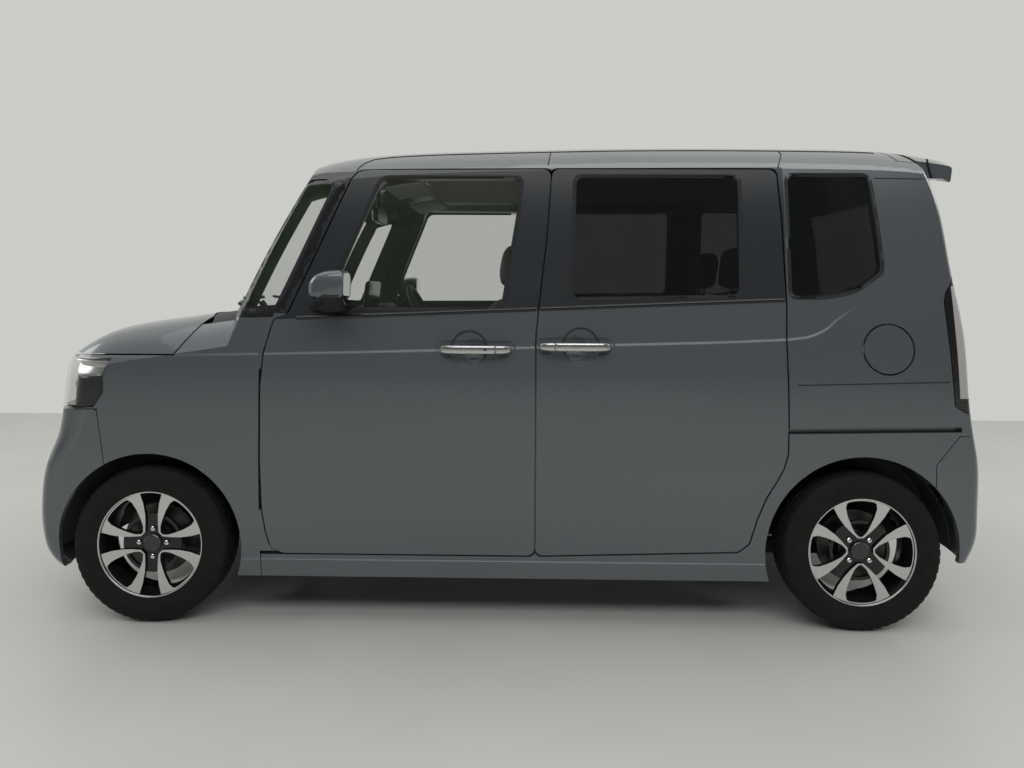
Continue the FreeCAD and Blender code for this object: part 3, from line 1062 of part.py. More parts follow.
RIM_CORNERS = (("sizes.rim_flange_radius", LIP),
               ("sizes.rim_flange_radius", "sizes.tyre_bead_half + sizes.seat_gap"),
               (BARREL, "sizes.tyre_bead_half + sizes.seat_gap"),
               (BARREL, "-sizes.tyre_bead_half - sizes.seat_gap"),
               ("sizes.rim_flange_radius", "-sizes.tyre_bead_half - sizes.seat_gap"),
               ("sizes.rim_flange_radius", "-sizes.tyre_bead_half - sizes.rim_flange_sheet"),
               (BARREL_INSIDE, "-sizes.tyre_bead_half - sizes.rim_flange_sheet"),
               (BARREL_INSIDE, "sizes.disc_edge_back"),
               ("sizes.disc_hub_radius", "sizes.disc_back"),
               ("sizes.hub_bore_radius", "sizes.disc_back"),
               ("sizes.hub_bore_radius", "sizes.disc_front"),
               ("sizes.disc_hub_radius", "sizes.disc_front"),
               ("sizes.disc_front_radius", "sizes.disc_front_edge"))
HUB_CORNERS = ((None, "sizes.stub_bore_end"),
               ("sizes.stub_radius + sizes.seat_gap", "sizes.stub_bore_end"),
               ("sizes.stub_radius + sizes.seat_gap", "-sizes.hub_back"),
               ("sizes.hub_back_radius", "-sizes.hub_back"),
               ("sizes.hub_back_radius", "-sizes.brake_back"),
               ("sizes.brake_radius", "-sizes.brake_back"),
               ("sizes.brake_radius", "-sizes.brake_front"),
               ("sizes.hub_face_radius", "-sizes.brake_front"),
               ("sizes.hub_face_radius", "sizes.disc_back - sizes.seat_gap"),
               ("sizes.hub_bore_radius - sizes.seat_gap", "sizes.disc_back - sizes.seat_gap"),
               ("sizes.hub_bore_radius - sizes.seat_gap", "sizes.cap_front"),
               (None, "sizes.cap_front"))
WINDOW_CORNERS = (("-sizes.window_low_half", "sizes.window_low_radius"),
                  ("-sizes.window_high_half", "sizes.window_high_radius"),
                  ("sizes.window_high_half", "sizes.window_high_radius"),
                  ("sizes.window_low_half", "sizes.window_low_radius"))

for end, axle_x in (("front", front_axle_x), ("rear", rear_axle_x)):
    for side, turn_angle, sign in (("left", 180, -1), ("right", 0, 1)):
        place = FreeCAD.Placement(V(axle_x, sign * wheel_y, s.tyre_radius),
                                  FreeCAD.Rotation(V(0, 0, 1), turn_angle))
        turned_body(f"{end}_tyre_{side}", TYRE_CORNERS, place)
        turned_body(f"{end}_hub_{side}", HUB_CORNERS, place)
        rim = turned_body(f"{end}_wheel_{side}", RIM_CORNERS, place)
        window = profile(rim, f"{end}_window_{side}", "XZ_Plane", WINDOW_CORNERS)
        pocket = rim.newObject("PartDesign::Pocket", f"{end}_pocket_{side}")
        pocket.Profile = window
        pocket.Type = "Length"
        pocket.SideType = "Symmetric"
        pocket.setExpression("Length", "sizes.tyre_width * 2")
        rim.Tip = pocket
        ring = rim.newObject("PartDesign::PolarPattern", f"{end}_windows_{side}")
        ring.Originals = [pocket]
        ring.Axis = (window, ["N_Axis"])
        ring.Angle = 360
        rim.Tip = ring
        ring.setExpression("Occurrences", "sizes.window_count")

# steering wheel from a ring, a hub, a shaft and three spokes
ring = doc.addObject("Part::Torus", "steering_ring")
ring.setExpression("Radius1", "sizes.steer_wheel_radius")
ring.setExpression("Radius2", "sizes.steer_rim_radius")
boss = doc.addObject("Part::Cylinder", "steering_hub")
boss.setExpression("Radius", "sizes.steer_hub_radius")
boss.setExpression("Height", "sizes.steer_hub_height")
boss.setExpression("Placement.Base.z", "-sizes.steer_hub_height")
shaft = doc.addObject("Part::Cylinder", "steering_shaft")
shaft.setExpression("Radius", "sizes.steer_shaft_radius")
shaft.setExpression("Height", "sizes.steer_shaft_length + sizes.steer_hub_height")
shaft.setExpression("Placement.Base.z", "-sizes.steer_shaft_length - sizes.steer_hub_height")
spokes = []
for index, angle in enumerate((0, 180, 270)):
    spoke = doc.addObject("Part::Cylinder", f"steering_spoke_{index}")
    spoke.setExpression("Radius", "sizes.steer_spoke_radius")
    spoke.setExpression("Height", "sizes.steer_wheel_radius")
    turn = FreeCAD.Rotation(V(0, 0, 1), angle) * FreeCAD.Rotation(V(1, 0, 0), -90)
    spoke.Placement = FreeCAD.Placement(V(0, 0, -s.steer_rim_radius / 2), turn)
    spokes.append(spoke)
steering = doc.addObject("Part::MultiFuse", "steering_wheel")
steering.Label = "steering_wheel"
steering.Shapes = [ring, boss, shaft] + spokes
steering.Placement = FreeCAD.Placement(steer_centre,
                                       FreeCAD.Rotation(V(0, 1, 0), 90 - s.steer_tilt)
                                       * FreeCAD.Rotation(V(0, 0, 1), 90))
nodes.append(steering)


def edged_block(label, length, width, height, edge, corner):
    """A block with bevelled edges whose sizes follow the sheet."""
    block = doc.addObject("Part::Box", label + "_block")
    block.setExpression("Length", f"sizes.{length}")
    block.setExpression("Width", f"sizes.{width}")
    block.setExpression("Height", f"sizes.{height}")
    doc.recompute()
    bevel = doc.addObject("Part::Chamfer", label)
    bevel.Label = label
    bevel.Base = block
    size = getattr(s, edge)
    bevel.Edges = [(index + 1, size, size) for index in range(len(block.Shape.Edges))]
    bevel.Placement = FreeCAD.Placement(corner, FreeCAD.Rotation())
    nodes.append(bevel)


edged_block("engine_block", "engine_length", "engine_width", "engine_height", "engine_edge",
            V(s.engine_front_x, -s.engine_width / 2, s.engine_low_z))
edged_block("fuel_tank", "tank_length", "tank_width", "tank_height", "tank_edge",
            V(s.tank_front_x, -s.tank_width / 2, floor_low_z - s.seat_gap - s.tank_height))

doc.recompute()
os.makedirs("parts", exist_ok=True)
for piece in nodes:
    box_of = piece.Shape.BoundBox
    print(piece.Label, len(piece.Shape.Solids), piece.Shape.isValid(),
          round(piece.Shape.Volume / 1e6, 2), [round(value) for value in (
              box_of.XMin, box_of.XMax, box_of.YMin, box_of.YMax, box_of.ZMin, box_of.ZMax)])
    if "Invalid" in piece.State or "Error" in piece.State or piece.Shape.isNull():
        raise RuntimeError(piece.Label + " failed")
    if not piece.Shape.isValid():
        raise RuntimeError(piece.Label + " is not valid")
for piece in nodes:
    piece.Shape.exportStep(os.path.join("parts", piece.Label + ".step"))
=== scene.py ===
"""Studio scene of a tall kei-class car: paint, glass, lamps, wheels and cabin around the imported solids.

Lengths are metres. The car points along -X, +Y is its right-hand side and +Z is up.
"""
# %% [markdown]
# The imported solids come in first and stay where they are. Everything made below rides on one of
# their bodies, so a door takes its glass, handle and mirror along when it opens.

# %% The frame
import math

import bmesh
import bpy
from mathutils import Matrix, Vector
from mathutils.bvhtree import BVHTree


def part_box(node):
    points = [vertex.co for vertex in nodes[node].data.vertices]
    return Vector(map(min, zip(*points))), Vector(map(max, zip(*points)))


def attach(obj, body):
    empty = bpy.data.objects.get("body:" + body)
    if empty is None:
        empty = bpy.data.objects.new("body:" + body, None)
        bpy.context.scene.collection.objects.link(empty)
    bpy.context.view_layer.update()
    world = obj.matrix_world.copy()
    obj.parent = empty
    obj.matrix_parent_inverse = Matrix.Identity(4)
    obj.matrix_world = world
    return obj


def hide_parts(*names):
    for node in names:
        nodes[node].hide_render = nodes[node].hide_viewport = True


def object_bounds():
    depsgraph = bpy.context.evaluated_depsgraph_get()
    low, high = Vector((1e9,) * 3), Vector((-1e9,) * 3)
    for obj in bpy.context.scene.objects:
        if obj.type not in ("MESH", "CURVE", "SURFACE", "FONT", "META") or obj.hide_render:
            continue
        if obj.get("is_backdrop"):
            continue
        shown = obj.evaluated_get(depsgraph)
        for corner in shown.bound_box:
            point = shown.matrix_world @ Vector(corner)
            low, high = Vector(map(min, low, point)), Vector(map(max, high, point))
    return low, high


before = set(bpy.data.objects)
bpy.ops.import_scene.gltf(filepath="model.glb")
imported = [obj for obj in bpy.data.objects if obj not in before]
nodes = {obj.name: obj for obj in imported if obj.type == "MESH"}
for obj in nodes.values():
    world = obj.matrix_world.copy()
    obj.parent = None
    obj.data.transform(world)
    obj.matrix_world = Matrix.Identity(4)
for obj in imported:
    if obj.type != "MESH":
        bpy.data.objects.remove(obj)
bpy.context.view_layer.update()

SIDES = (("left", -1), ("right", 1))

# %% [markdown]
# Materials are built from nodes. One helper sets the plain values of the surface shader, and
# small helpers add what the real surface shows: flakes and orange peel in the paint, grain in
# the plastic, a weave in the cloth.

# %% Materials
made = {}


def surface(name, color, roughness=0.5, **plain):
    """A new material with one surface shader, and that shader."""
    material = bpy.data.materials.new(name)
    material.use_nodes = True
    shader = material.node_tree.nodes["Principled BSDF"]
    shader.inputs["Base Color"].default_value = (*color, 1)
    shader.inputs["Roughness"].default_value = roughness
    for key, value in plain.items():
        shader.inputs[key.replace("_", " ")].default_value = value
    material.diffuse_color = (*color, 1)
    made[name] = material
    return material, shader


def add_node(material, kind, **values):
    """A node in a material, with its properties or its named sockets set."""
    node = material.node_tree.nodes.new(kind)
    for key, value in values.items():
        if hasattr(node, key):
            setattr(node, key, value)
        else:
            node.inputs[key.replace("_", " ")].default_value = value
    return node


def link(material, out, into):
    """Join a socket, or the socket of a value, to another."""
    material.node_tree.links.new(getattr(out, "socket", out), into)


def noise(material, scale, detail=4.0, stretch=(1, 1, 1)):
    """A noise value over the piece's own coordinates."""
    place = add_node(material, "ShaderNodeTexCoord")
    turn = add_node(material, "ShaderNodeMapping")
    turn.inputs["Scale"].default_value = stretch
    link(material, place.outputs["Object"], turn.inputs["Vector"])
    texture = add_node(material, "ShaderNodeTexNoise", Scale=scale, Detail=detail)
    link(material, turn.outputs["Vector"], texture.inputs["Vector"])
    return texture.outputs["Fac"]


def vary_color(material, shader, factor, dark, light):
    """Colour that moves between two tones with a factor."""
    ramp = add_node(material, "ShaderNodeValToRGB")
    ramp.color_ramp.elements[0].color = (*dark, 1)
    ramp.color_ramp.elements[0].position = 0.3
    ramp.color_ramp.elements[1].color = (*light, 1)
    ramp.color_ramp.elements[1].position = 0.7
    link(material, factor, ramp.inputs["Fac"])
    link(material, ramp.outputs["Color"], shader.inputs["Base Color"])


def vary_roughness(material, shader, factor, low, high):
    """Roughness that moves between two values with a factor."""
    span = add_node(material, "ShaderNodeMapRange")
    span.inputs["To Min"].default_value = low
    span.inputs["To Max"].default_value = high
    link(material, factor, span.inputs["Value"])
    link(material, span.outputs["Result"], shader.inputs["Roughness"])


def relief(material, shader, factor, strength, distance):
    """A bump from a factor."""
    bump = add_node(material, "ShaderNodeBump", Strength=strength, Distance=distance)
    link(material, factor, bump.inputs["Height"])
    link(material, bump.outputs["Normal"], shader.inputs["Normal"])


def shade(tone, amount):
    """A tone made lighter or darker."""
    return tuple(min(1.0, value * amount) for value in tone)


PAINT_METAL, PAINT_COAT = 0.35, 0.9


def paint(name, tone):
    """Gloss paint with fine flakes under a clear coat."""
    material, shader = surface(name, tone, 0.34, Metallic=PAINT_METAL, Coat_Weight=PAINT_COAT,
                               Coat_Roughness=0.03)
    vary_color(material, shader, noise(material, 900, 2), shade(tone, 0.93), shade(tone, 1.07))
    relief(material, shader, noise(material, 160, 1), 0.03, 0.0004)
    return material, shader


class Value:
    """A socket of a material that the signs of arithmetic work on."""

    def __init__(self, material, socket):
        self.material, self.socket = material, socket

    def __add__(self, other):
        return calc("ADD", self, other)

    def __sub__(self, other):
        return calc("SUBTRACT", self, other)

    def __rsub__(self, other):
        return calc("SUBTRACT", other, self)

    def __mul__(self, other):
        return calc("MULTIPLY", self, other)

    def __truediv__(self, other):
        return calc("DIVIDE", self, other)

    def __lt__(self, other):
        return calc("LESS_THAN", self, other)

    def __gt__(self, other):
        return calc("GREATER_THAN", self, other)

    def __abs__(self):
        return calc("ABSOLUTE", self)


def calc(operation, first, second=0.0):
    """One step of arithmetic on values or numbers."""
    material = (first if isinstance(first, Value) else second).material
    node = add_node(material, "ShaderNodeMath", operation=operation)
    for index, value in enumerate((first, second)):
        if isinstance(value, Value):
            link(material, value, node.inputs[index])
        else:
            node.inputs[index].default_value = value
    return Value(material, node.outputs[0])


def length_of(first, second):
    """The length of a flat step."""
    return calc("SQRT", first * first + second * second)


def smooth_step(value, low, high):
    """0 below one value and 1 above another, with a soft change between them."""
    material = value.material
    span = add_node(material, "ShaderNodeMapRange", interpolation_type="SMOOTHSTEP")
    span.inputs["From Min"].default_value = low
    span.inputs["From Max"].default_value = high
    link(material, value, span.inputs["Value"])
    return Value(material, span.outputs["Result"])


def rest_place(material):
    """The three coordinates of the piece at rest."""
    place = add_node(material, "ShaderNodeTexCoord")
    split = add_node(material, "ShaderNodeSeparateXYZ")
    link(material, place.outputs["Object"], split.inputs["Vector"])
    return [Value(material, split.outputs[axis]) for axis in "XYZ"]


def toned(material, shader, mask, tone):
    """Lay one tone over the present colour where a mask is 1."""
    mix = add_node(material, "ShaderNodeMix", data_type="RGBA")
    link(material, mask, mix.inputs[0])
    source = shader.inputs["Base Color"]
    if source.is_linked:
        link(material, source.links[0].from_socket, mix.inputs[6])
    else:
        mix.inputs[6].default_value = source.default_value
    mix.inputs[7].default_value = (*tone, 1)
    link(material, mix.outputs[2], source)


# the crease along the side, as (x, height), and the frame that its curve is drawn in
CREASE = [(-1.30, 0.958), (-0.855, 0.967), (-0.248, 0.983), (0.376, 1.005), (0.893, 1.023),
          (1.040, 1.034), (1.100, 1.052), (1.167, 1.101), (1.277, 1.178), (1.400, 1.330)]
CREASE_START, CREASE_LENGTH, CREASE_LOW, CREASE_TALL = 1.3, 2.7, 0.9, 0.5
CREASE_FADE = (1.080, 1.290)
CREASE_DEPTH, BAR_DEPTH, CUP_DEPTH, SILL_DEPTH, PRESS_UNIT = 0.34, 0.45, 2.2, 0.6, 0.0090
# the handles' recesses: middle of the bar, its height, half its length, middle of the cup
RECESSES = ((-0.104, 0.984, 0.112, -0.127), (0.245, 0.996, 0.112, 0.266))
BAR_RADIUS, CUP_RADIUS = 0.031, 0.067
# the film on the pillars lies between two lines, each (rise along x, height at x = 0)
FILM_LOW, FILM_HIGH, FILM_TONE = (0.0419, 1.1185), (0.0080, 1.6320), (0.022, 0.027, 0.033)


def recess_reach(x, z):
    """How far a place is from the long recess and from the round cup of the nearer handle."""
    bars, cups = [], []
    for middle_x, middle_z, half, round_x in RECESSES:
        up = z - middle_z
        past = calc("MAXIMUM", abs(x - middle_x) - half, 0.0)
        bars.append(length_of(past, up) - BAR_RADIUS)
        cups.append(length_of(x - round_x, up) - CUP_RADIUS)
    return calc("MINIMUM", *bars), calc("MINIMUM", *cups)


def side_paint(name, black_end):
    """Paint with the pressed crease; the film on the window pillars is black in front of a place."""
    material, shader = paint(name, SLATE)
    x, _, z = rest_place(material)
    curve = add_node(material, "ShaderNodeFloatCurve")
    points = curve.mapping.curves[0].points
    for index, (along, height) in enumerate(CREASE):
        share = ((along + CREASE_START) / CREASE_LENGTH, (height - CREASE_LOW) / CREASE_TALL)
        if index in (0, len(CREASE) - 1):
            points[0 if index == 0 else -1].location = share
        else:
            points.new(*share)
    curve.mapping.update()
    link(material, (x + CREASE_START) / CREASE_LENGTH, curve.inputs["Value"])
    above = z - (Value(material, curve.outputs["Value"]) * CREASE_TALL + CREASE_LOW)
    height = smooth_step(above, 0.010, 0.150) - smooth_step(above, -0.012, 0.003)
    height = height * (CREASE_DEPTH - smooth_step(x, *CREASE_FADE) * CREASE_DEPTH)
    for reach, depth in zip(recess_reach(x, z), (BAR_DEPTH, CUP_DEPTH)):
        height = height + smooth_step(reach, -0.010, 0.001) * depth
    height = height - smooth_step(z, 0.2260, 0.2330) * SILL_DEPTH
    bump = add_node(material, "ShaderNodeBump", Strength=1.0, Distance=PRESS_UNIT)
    link(material, height, bump.inputs["Height"])
    link(material, shader.inputs["Normal"].links[0].from_socket, bump.inputs["Normal"])
    link(material, bump.outputs["Normal"], shader.inputs["Normal"])
    film = (z > x * FILM_LOW[0] + FILM_LOW[1]) * (z < x * FILM_HIGH[0] + FILM_HIGH[1])
    film = film * (x < black_end)
    toned(material, shader, film, FILM_TONE)
    bare = 1.0 - film
    link(material, bare * PAINT_METAL, shader.inputs["Metallic"])
    link(material, bare * PAINT_COAT, shader.inputs["Coat Weight"])


def plastic(name, tone, roughness=0.55, grain=900, depth=0.25):
    """Moulded plastic with a fine grain."""
    material, shader = surface(name, tone, roughness)
    vary_color(material, shader, noise(material, 40), shade(tone, 0.9), shade(tone, 1.15))
    relief(material, shader, noise(material, grain, 3), depth, 0.0004)
    return material


def metal(name, tone, roughness=0.3, grain=400, stretch=(1, 1, 1)):
    """Metal with faint machining or casting marks."""
    material, shader = surface(name, tone, roughness, Metallic=1.0)
    factor = noise(material, grain, 3, stretch)
    vary_roughness(material, shader, factor, roughness * 0.8, roughness * 1.25)
    relief(material, shader, factor, 0.06, 0.0003)
    return material


def glass(name, tone, see_through, roughness=0.02):
    """A pane, see-through by its alpha."""
    material, shader = surface(name, tone, roughness, Specular_IOR_Level=0.6, Alpha=1 - see_through)
    material.surface_render_method = "BLENDED"
    vary_roughness(material, shader, noise(material, 3), roughness, roughness + 0.015)
    return material


def cloth(name, tone, scale=700):
    """Woven cloth with crossing threads."""
    material, shader = surface(name, tone, 0.9, Sheen_Weight=0.35, Sheen_Roughness=0.5)
    place = add_node(material, "ShaderNodeTexCoord")
    waves = []
    for direction in ("X", "Y"):
        wave = add_node(material, "ShaderNodeTexWave", bands_direction=direction)
        wave.inputs["Scale"].default_value = scale / 6
        wave.inputs["Distortion"].default_value = 1.5
        link(material, place.outputs["Object"], wave.inputs["Vector"])
        waves.append(wave.outputs["Fac"])
    mix = add_node(material, "ShaderNodeMath", operation="MULTIPLY")
    link(material, waves[0], mix.inputs[0])
    link(material, waves[1], mix.inputs[1])
    vary_color(material, shader, mix.outputs[0], shade(tone, 0.7), shade(tone, 1.3))
    relief(material, shader, mix.outputs[0], 0.4, 0.0006)
    return material


SLATE = (0.118, 0.136, 0.148)
paint("body_paint", SLATE)
side_paint("side_paint", 0.992)
side_paint("wing_paint", -5.0)
plastic("black_trim", (0.016, 0.016, 0.017), 0.5)
plastic("frame_black", (0.014, 0.014, 0.015), 0.25, 1500, 0.03)
plastic("gloss_black", (0.010, 0.010, 0.011), 0.12, 1500, 0.02)
plastic("seal_rubber", (0.012, 0.012, 0.012), 0.7)
plastic("liner", (0.010, 0.010, 0.010), 0.9, 300, 0.6)
plastic("floor_paint", (0.035, 0.038, 0.042), 0.7, 200, 0.3)
plastic("chassis_black", (0.018, 0.018, 0.019), 0.45, 300, 0.3)
plastic("dash_plastic", (0.030, 0.030, 0.033), 0.6)
plastic("lining_pale", (0.42, 0.41, 0.38), 0.9, 600, 0.4)
metal("satin_chrome", (0.62, 0.62, 0.61), 0.26, 300)
metal("bright_chrome", (0.80, 0.80, 0.80), 0.08, 300)
metal("machined", (0.66, 0.66, 0.65), 0.22, 500, (1, 1, 8))
metal("cast_iron", (0.20, 0.19, 0.18), 0.55, 200)
# hubs and brake discs: steel darkened to near black, painted shade of the hollow inside the wheel, not the
# steel's own colour
metal("disc_steel", (0.10, 0.10, 0.098), 0.42, 200)
metal("exhaust_steel", (0.30, 0.28, 0.26), 0.5, 150)
glass("clear_glass", (0.10, 0.132, 0.088), 0.885)
glass("dark_glass", (0.007, 0.008, 0.008), 0.32)
glass("lamp_clear", (0.10, 0.105, 0.11), 0.90)
glass("lamp_rear_red", (0.30, 0.012, 0.012), 0.15)
cloth("seat_cloth", (0.045, 0.045, 0.050))
cloth("seat_inset", (0.075, 0.075, 0.080), 400)
rubber, rubber_shader = surface("tyre_rubber", (0.008, 0.008, 0.008), 0.82, Specular_IOR_Level=0.35)
vary_color(rubber, rubber_shader, noise(rubber, 25), (0.006, 0.006, 0.006), (0.012, 0.0115, 0.011))
relief(rubber, rubber_shader, noise(rubber, 700), 0.25, 0.0005)

FINISHES = {
    "body_paint": ("roof_panel", "bonnet", "front_bumper", "rear_bumper", "tailgate", "roof_spoiler",
                   "fuel_flap", "mirror_left", "mirror_right"),
    "side_paint": ("side_frames", "sliding_doors", "front_door_left", "front_door_right"),
    "wing_paint": ("front_fenders",),
    "floor_paint": ("underbody",), "black_trim": ("cowl_panel", "fuel_tank"),
    "gloss_black": ("grille", "headlamp_housings"), "dark_glass": ("side_glass", "tailgate_glass"),
    "clear_glass": ("windscreen", "front_door_glass_left", "front_door_glass_right"),
    "lamp_clear": ("headlamps",), "lamp_rear_red": ("tail_lamps",),
    "satin_chrome": ("front_door_handle_left", "front_door_handle_right", "sliding_door_handles"),
    "disc_steel": ("front_hub_left", "front_hub_right", "rear_hub_left", "rear_hub_right"),
    "chassis_black": ("front_subframe", "rear_axle_beam", "rear_springs", "knuckle_left",
                      "knuckle_right"),
    "exhaust_steel": ("exhaust",), "cast_iron": ("engine_block",),
    "dash_plastic": ("dashboard", "steering_wheel"), "seat_cloth": ("front_seats", "rear_seats"),
}
for finish, names in FINISHES.items():
    for name in names:
        slots = nodes[name].data.materials
        for index in range(len(slots)):
            slots[index] = made[finish]
        if not slots:
            slots.append(made[finish])
print("materials:", len(made))

# %% [markdown]
# The camera stands level beside the left-hand side of the car, where the photograph was taken.
# A pale floor and large soft lights make a studio, and the sky gives an even pale fill.

# %% Camera, floor and lights
EYE = (0.0706, -3.3506, 1.1974)
HEADING, ROLL = 0.0181, 0.004915

camera_data = bpy.data.cameras.new("camera")
camera_data.sensor_width = 36.0
camera_data.lens = 26.19
camera_data.shift_y = -0.0932
camera_data.clip_start = 0.05
camera = bpy.data.objects.new("camera", camera_data)
bpy.context.scene.collection.objects.link(camera)
camera.matrix_world = (Matrix.Translation(EYE) @ Matrix.Rotation(HEADING, 4, "Z")
                       @ Matrix.Rotation(math.radians(90), 4, "X") @ Matrix.Rotation(ROLL, 4, "Z"))
bpy.context.scene.camera = camera


def new_item(name, data):
    """An object in the scene for some data."""
    item = bpy.data.objects.new(name, data)
    bpy.context.scene.collection.objects.link(item)
    return item


def mesh_object(name, points, faces, finish, smooth=True):
    """A mesh object from points and faces, in one material."""
    mesh = bpy.data.meshes.new(name)
    mesh.from_pydata([tuple(point) for point in points], [], faces)
    mesh.validate()
    if smooth:
        mesh.polygons.foreach_set("use_smooth", [True] * len(mesh.polygons))
    mesh.materials.append(made[finish])
    return new_item(name, mesh)


concrete, concrete_shader = surface("studio_floor", (0.66, 0.65, 0.63), 0.38)
vary_color(concrete, concrete_shader, noise(concrete, 1.2), (0.64, 0.631, 0.608), (0.68, 0.671, 0.648))
vary_roughness(concrete, concrete_shader, noise(concrete, 6), 0.30, 0.46)
FLOOR_HALF, FLOOR_NEAR, FLOOR_FAR = 20, -16, 3.6
floor = mesh_object("floor", [(-FLOOR_HALF, FLOOR_NEAR, 0), (FLOOR_HALF, FLOOR_NEAR, 0),
                              (FLOOR_HALF, FLOOR_FAR, 0), (-FLOOR_HALF, FLOOR_FAR, 0)],
                    [(0, 1, 2, 3)], "studio_floor", False)
floor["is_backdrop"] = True


def area_light(name, place, aim, size, power):
    """A rectangular soft light that points at a place."""
    data = bpy.data.lights.new(name, "AREA")
    data.shape = "RECTANGLE"
    data.size, data.size_y = size
    data.energy = power
    item = new_item(name, data)
    item.location = place
    item.rotation_euler = (Vector(aim) - Vector(place)).to_track_quat("-Z", "Y").to_euler()


area_light("top_light", (0, -0.5, 6.5), (0, -0.5, 0), (10, 6), 135)
area_light("near_light", (0.5, -6.0, 6.2), (0, -0.6, 0.8), (9, 2.5), 235)
area_light("nose_light", (-7.5, 0.5, 4.5), (0, 0, 0.8), (4, 2.5), 70)
area_light("tail_light", (7.5, 0.5, 4.5), (0, 0, 0.8), (4, 2.5), 70)
world = bpy.data.worlds.new("studio")
bpy.context.scene.world = world
world.use_nodes = True
sky = world.node_tree.nodes["Background"]
sky.inputs["Strength"].default_value = 1.0
place = add_node(world, "ShaderNodeTexCoord")
split = add_node(world, "ShaderNodeSeparateXYZ")
link(world, place.outputs["Generated"], split.inputs["Vector"])
span = add_node(world, "ShaderNodeMapRange", interpolation_type="SMOOTHSTEP")
span.inputs["From Min"].default_value = -0.45
span.inputs["From Max"].default_value = 0.35
link(world, split.outputs["Y"], span.inputs["Value"])
tones = add_node(world, "ShaderNodeMix", data_type="RGBA")
link(world, span.outputs["Result"], tones.inputs[0])
tones.inputs[6].default_value = (0.085, 0.087, 0.085, 1)
tones.inputs[7].default_value = (0.600, 0.605, 0.575, 1)
link(world, tones.outputs[2], sky.inputs["Color"])
bpy.context.scene.view_settings.view_transform = "Standard"
print("camera and studio made")

# %% [markdown]
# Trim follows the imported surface. A point in the side view is sent inwards along Y until it
# meets the panel, and the piece is laid on it there, a fraction of a millimetre proud.

# %% Helpers that lay pieces on the surface
trees = {}


def tree_of(name):
    """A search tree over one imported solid."""
    if name not in trees:
        mesh = nodes[name].data
        trees[name] = BVHTree.FromPolygons([vertex.co for vertex in mesh.vertices],
                                           [polygon.vertices for polygon in mesh.polygons])
    return trees[name]


def first_met(names, axis, sign, start):
    """The outermost place on some panels along an axis, and the outward normal there."""
    aim = Vector((0, 0, 0))
    aim[axis] = -sign
    hit = normal = None
    for name in names.split():
        spot, turned, _, _ = tree_of(name).ray_cast(Vector(start), aim)
        if spot is not None and (hit is None or spot[axis] * sign > hit[axis] * sign):
            hit, normal = spot, turned
    if hit is not None and normal[axis] * sign < 0:
        normal = -normal
    return hit, normal


SIDE_START, END_START, TOP_START, CABIN_START = 2.0, 3.0, 3.0, 0.2
SIDE_LEAST = 0.3


def side_point(names, sign, x, z, proud=0.0):
    """The outermost place on some panels at (x, z), moved outwards a little; None if all miss."""
    hit, normal = first_met(names, 1, sign, (x, sign * SIDE_START, z))
    return None if hit is None or hit.y * sign < SIDE_LEAST else hit + normal * proud


def end_point(names, end, y, z, proud=0.0):
    """The foremost (end -1) or rearmost (end 1) place on some panels at (y, z), moved out."""
    hit, normal = first_met(names, 0, end, (end * END_START, y, z))
    return None if hit is None else hit + normal * proud


def top_point(names, x, y, proud=0.0):
    """The highest place on some panels at (x, y), moved up by a little."""
    hit = first_met(names, 2, 1, (x, y, TOP_START))[0]
    return None if hit is None else hit + Vector((0, 0, proud))


def inner_point(name, sign, x, z, proud=0.0):
    """The place on a side panel's inner face at (x, z), moved inwards by a little."""
    spot = tree_of(name).ray_cast(Vector((x, sign * CABIN_START, z)), Vector((0, sign, 0)))[0]
    return None if spot is None else spot - Vector((0, sign * proud, 0))


def beside(names, sign, proud=0.0):
    """side_point as a place for patch or ribbon."""
    return lambda x, z, out=0.0: side_point(names, sign, x, z, proud + out)


def ride_all(items, body):
    """Let some pieces ride on one body."""
    for item in items:
        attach(item, body)


def curve_mesh(curve):
    """The mesh that a curve gives."""
    item = new_item(curve.name, curve)
    bpy.context.view_layer.update()
    mesh = bpy.data.meshes.new_from_object(item)
    bpy.data.objects.remove(item)
    return mesh


def flat_mesh(outer, holes=()):
    """A filled flat mesh from outlines in the (x, z) plane, as (points, faces)."""
    curve = bpy.data.curves.new("outline", "CURVE")
    curve.dimensions = "2D"
    curve.fill_mode = "BOTH"
    for points in (outer, *holes):
        spline = curve.splines.new("POLY")
        spline.points.add(len(points) - 1)
        for point, (x, z) in zip(spline.points, points):
            point.co = (x, z, 0, 1)
        spline.use_cyclic_u = True
    return curve_mesh(curve)


def sliced(work, cut):
    """Cut a flat mesh into a grid of small faces."""
    for axis in (0, 1):
        values = [vertex.co[axis] for vertex in work.verts]
        low, high = min(values), max(values)
        for step in range(1, int((high - low) / cut) + 1):
            place, normal = [0, 0, 0], [0, 0, 0]
            place[axis], normal[axis] = low + step * cut, 1
            bmesh.ops.bisect_plane(work, geom=work.verts[:] + work.edges[:] + work.faces[:],
                                   plane_co=place, plane_no=normal)


def rounded(points, radius, steps=5):
    """An outline with its corners rounded."""
    out = []
    count = len(points)
    for index, (x, z) in enumerate(points):
        before = Vector(points[index - 1]) - Vector((x, z))
        after = Vector(points[(index + 1) % count]) - Vector((x, z))
        reach = min(radius, before.length * 0.45, after.length * 0.45)
        start = Vector((x, z)) + before.normalized() * reach
        end = Vector((x, z)) + after.normalized() * reach
        for step in range(steps + 1):
            share = step / steps
            middle = start.lerp(Vector((x, z)), share).lerp(Vector((x, z)).lerp(end, share), share)
            out.append((middle.x, middle.y))
    return out


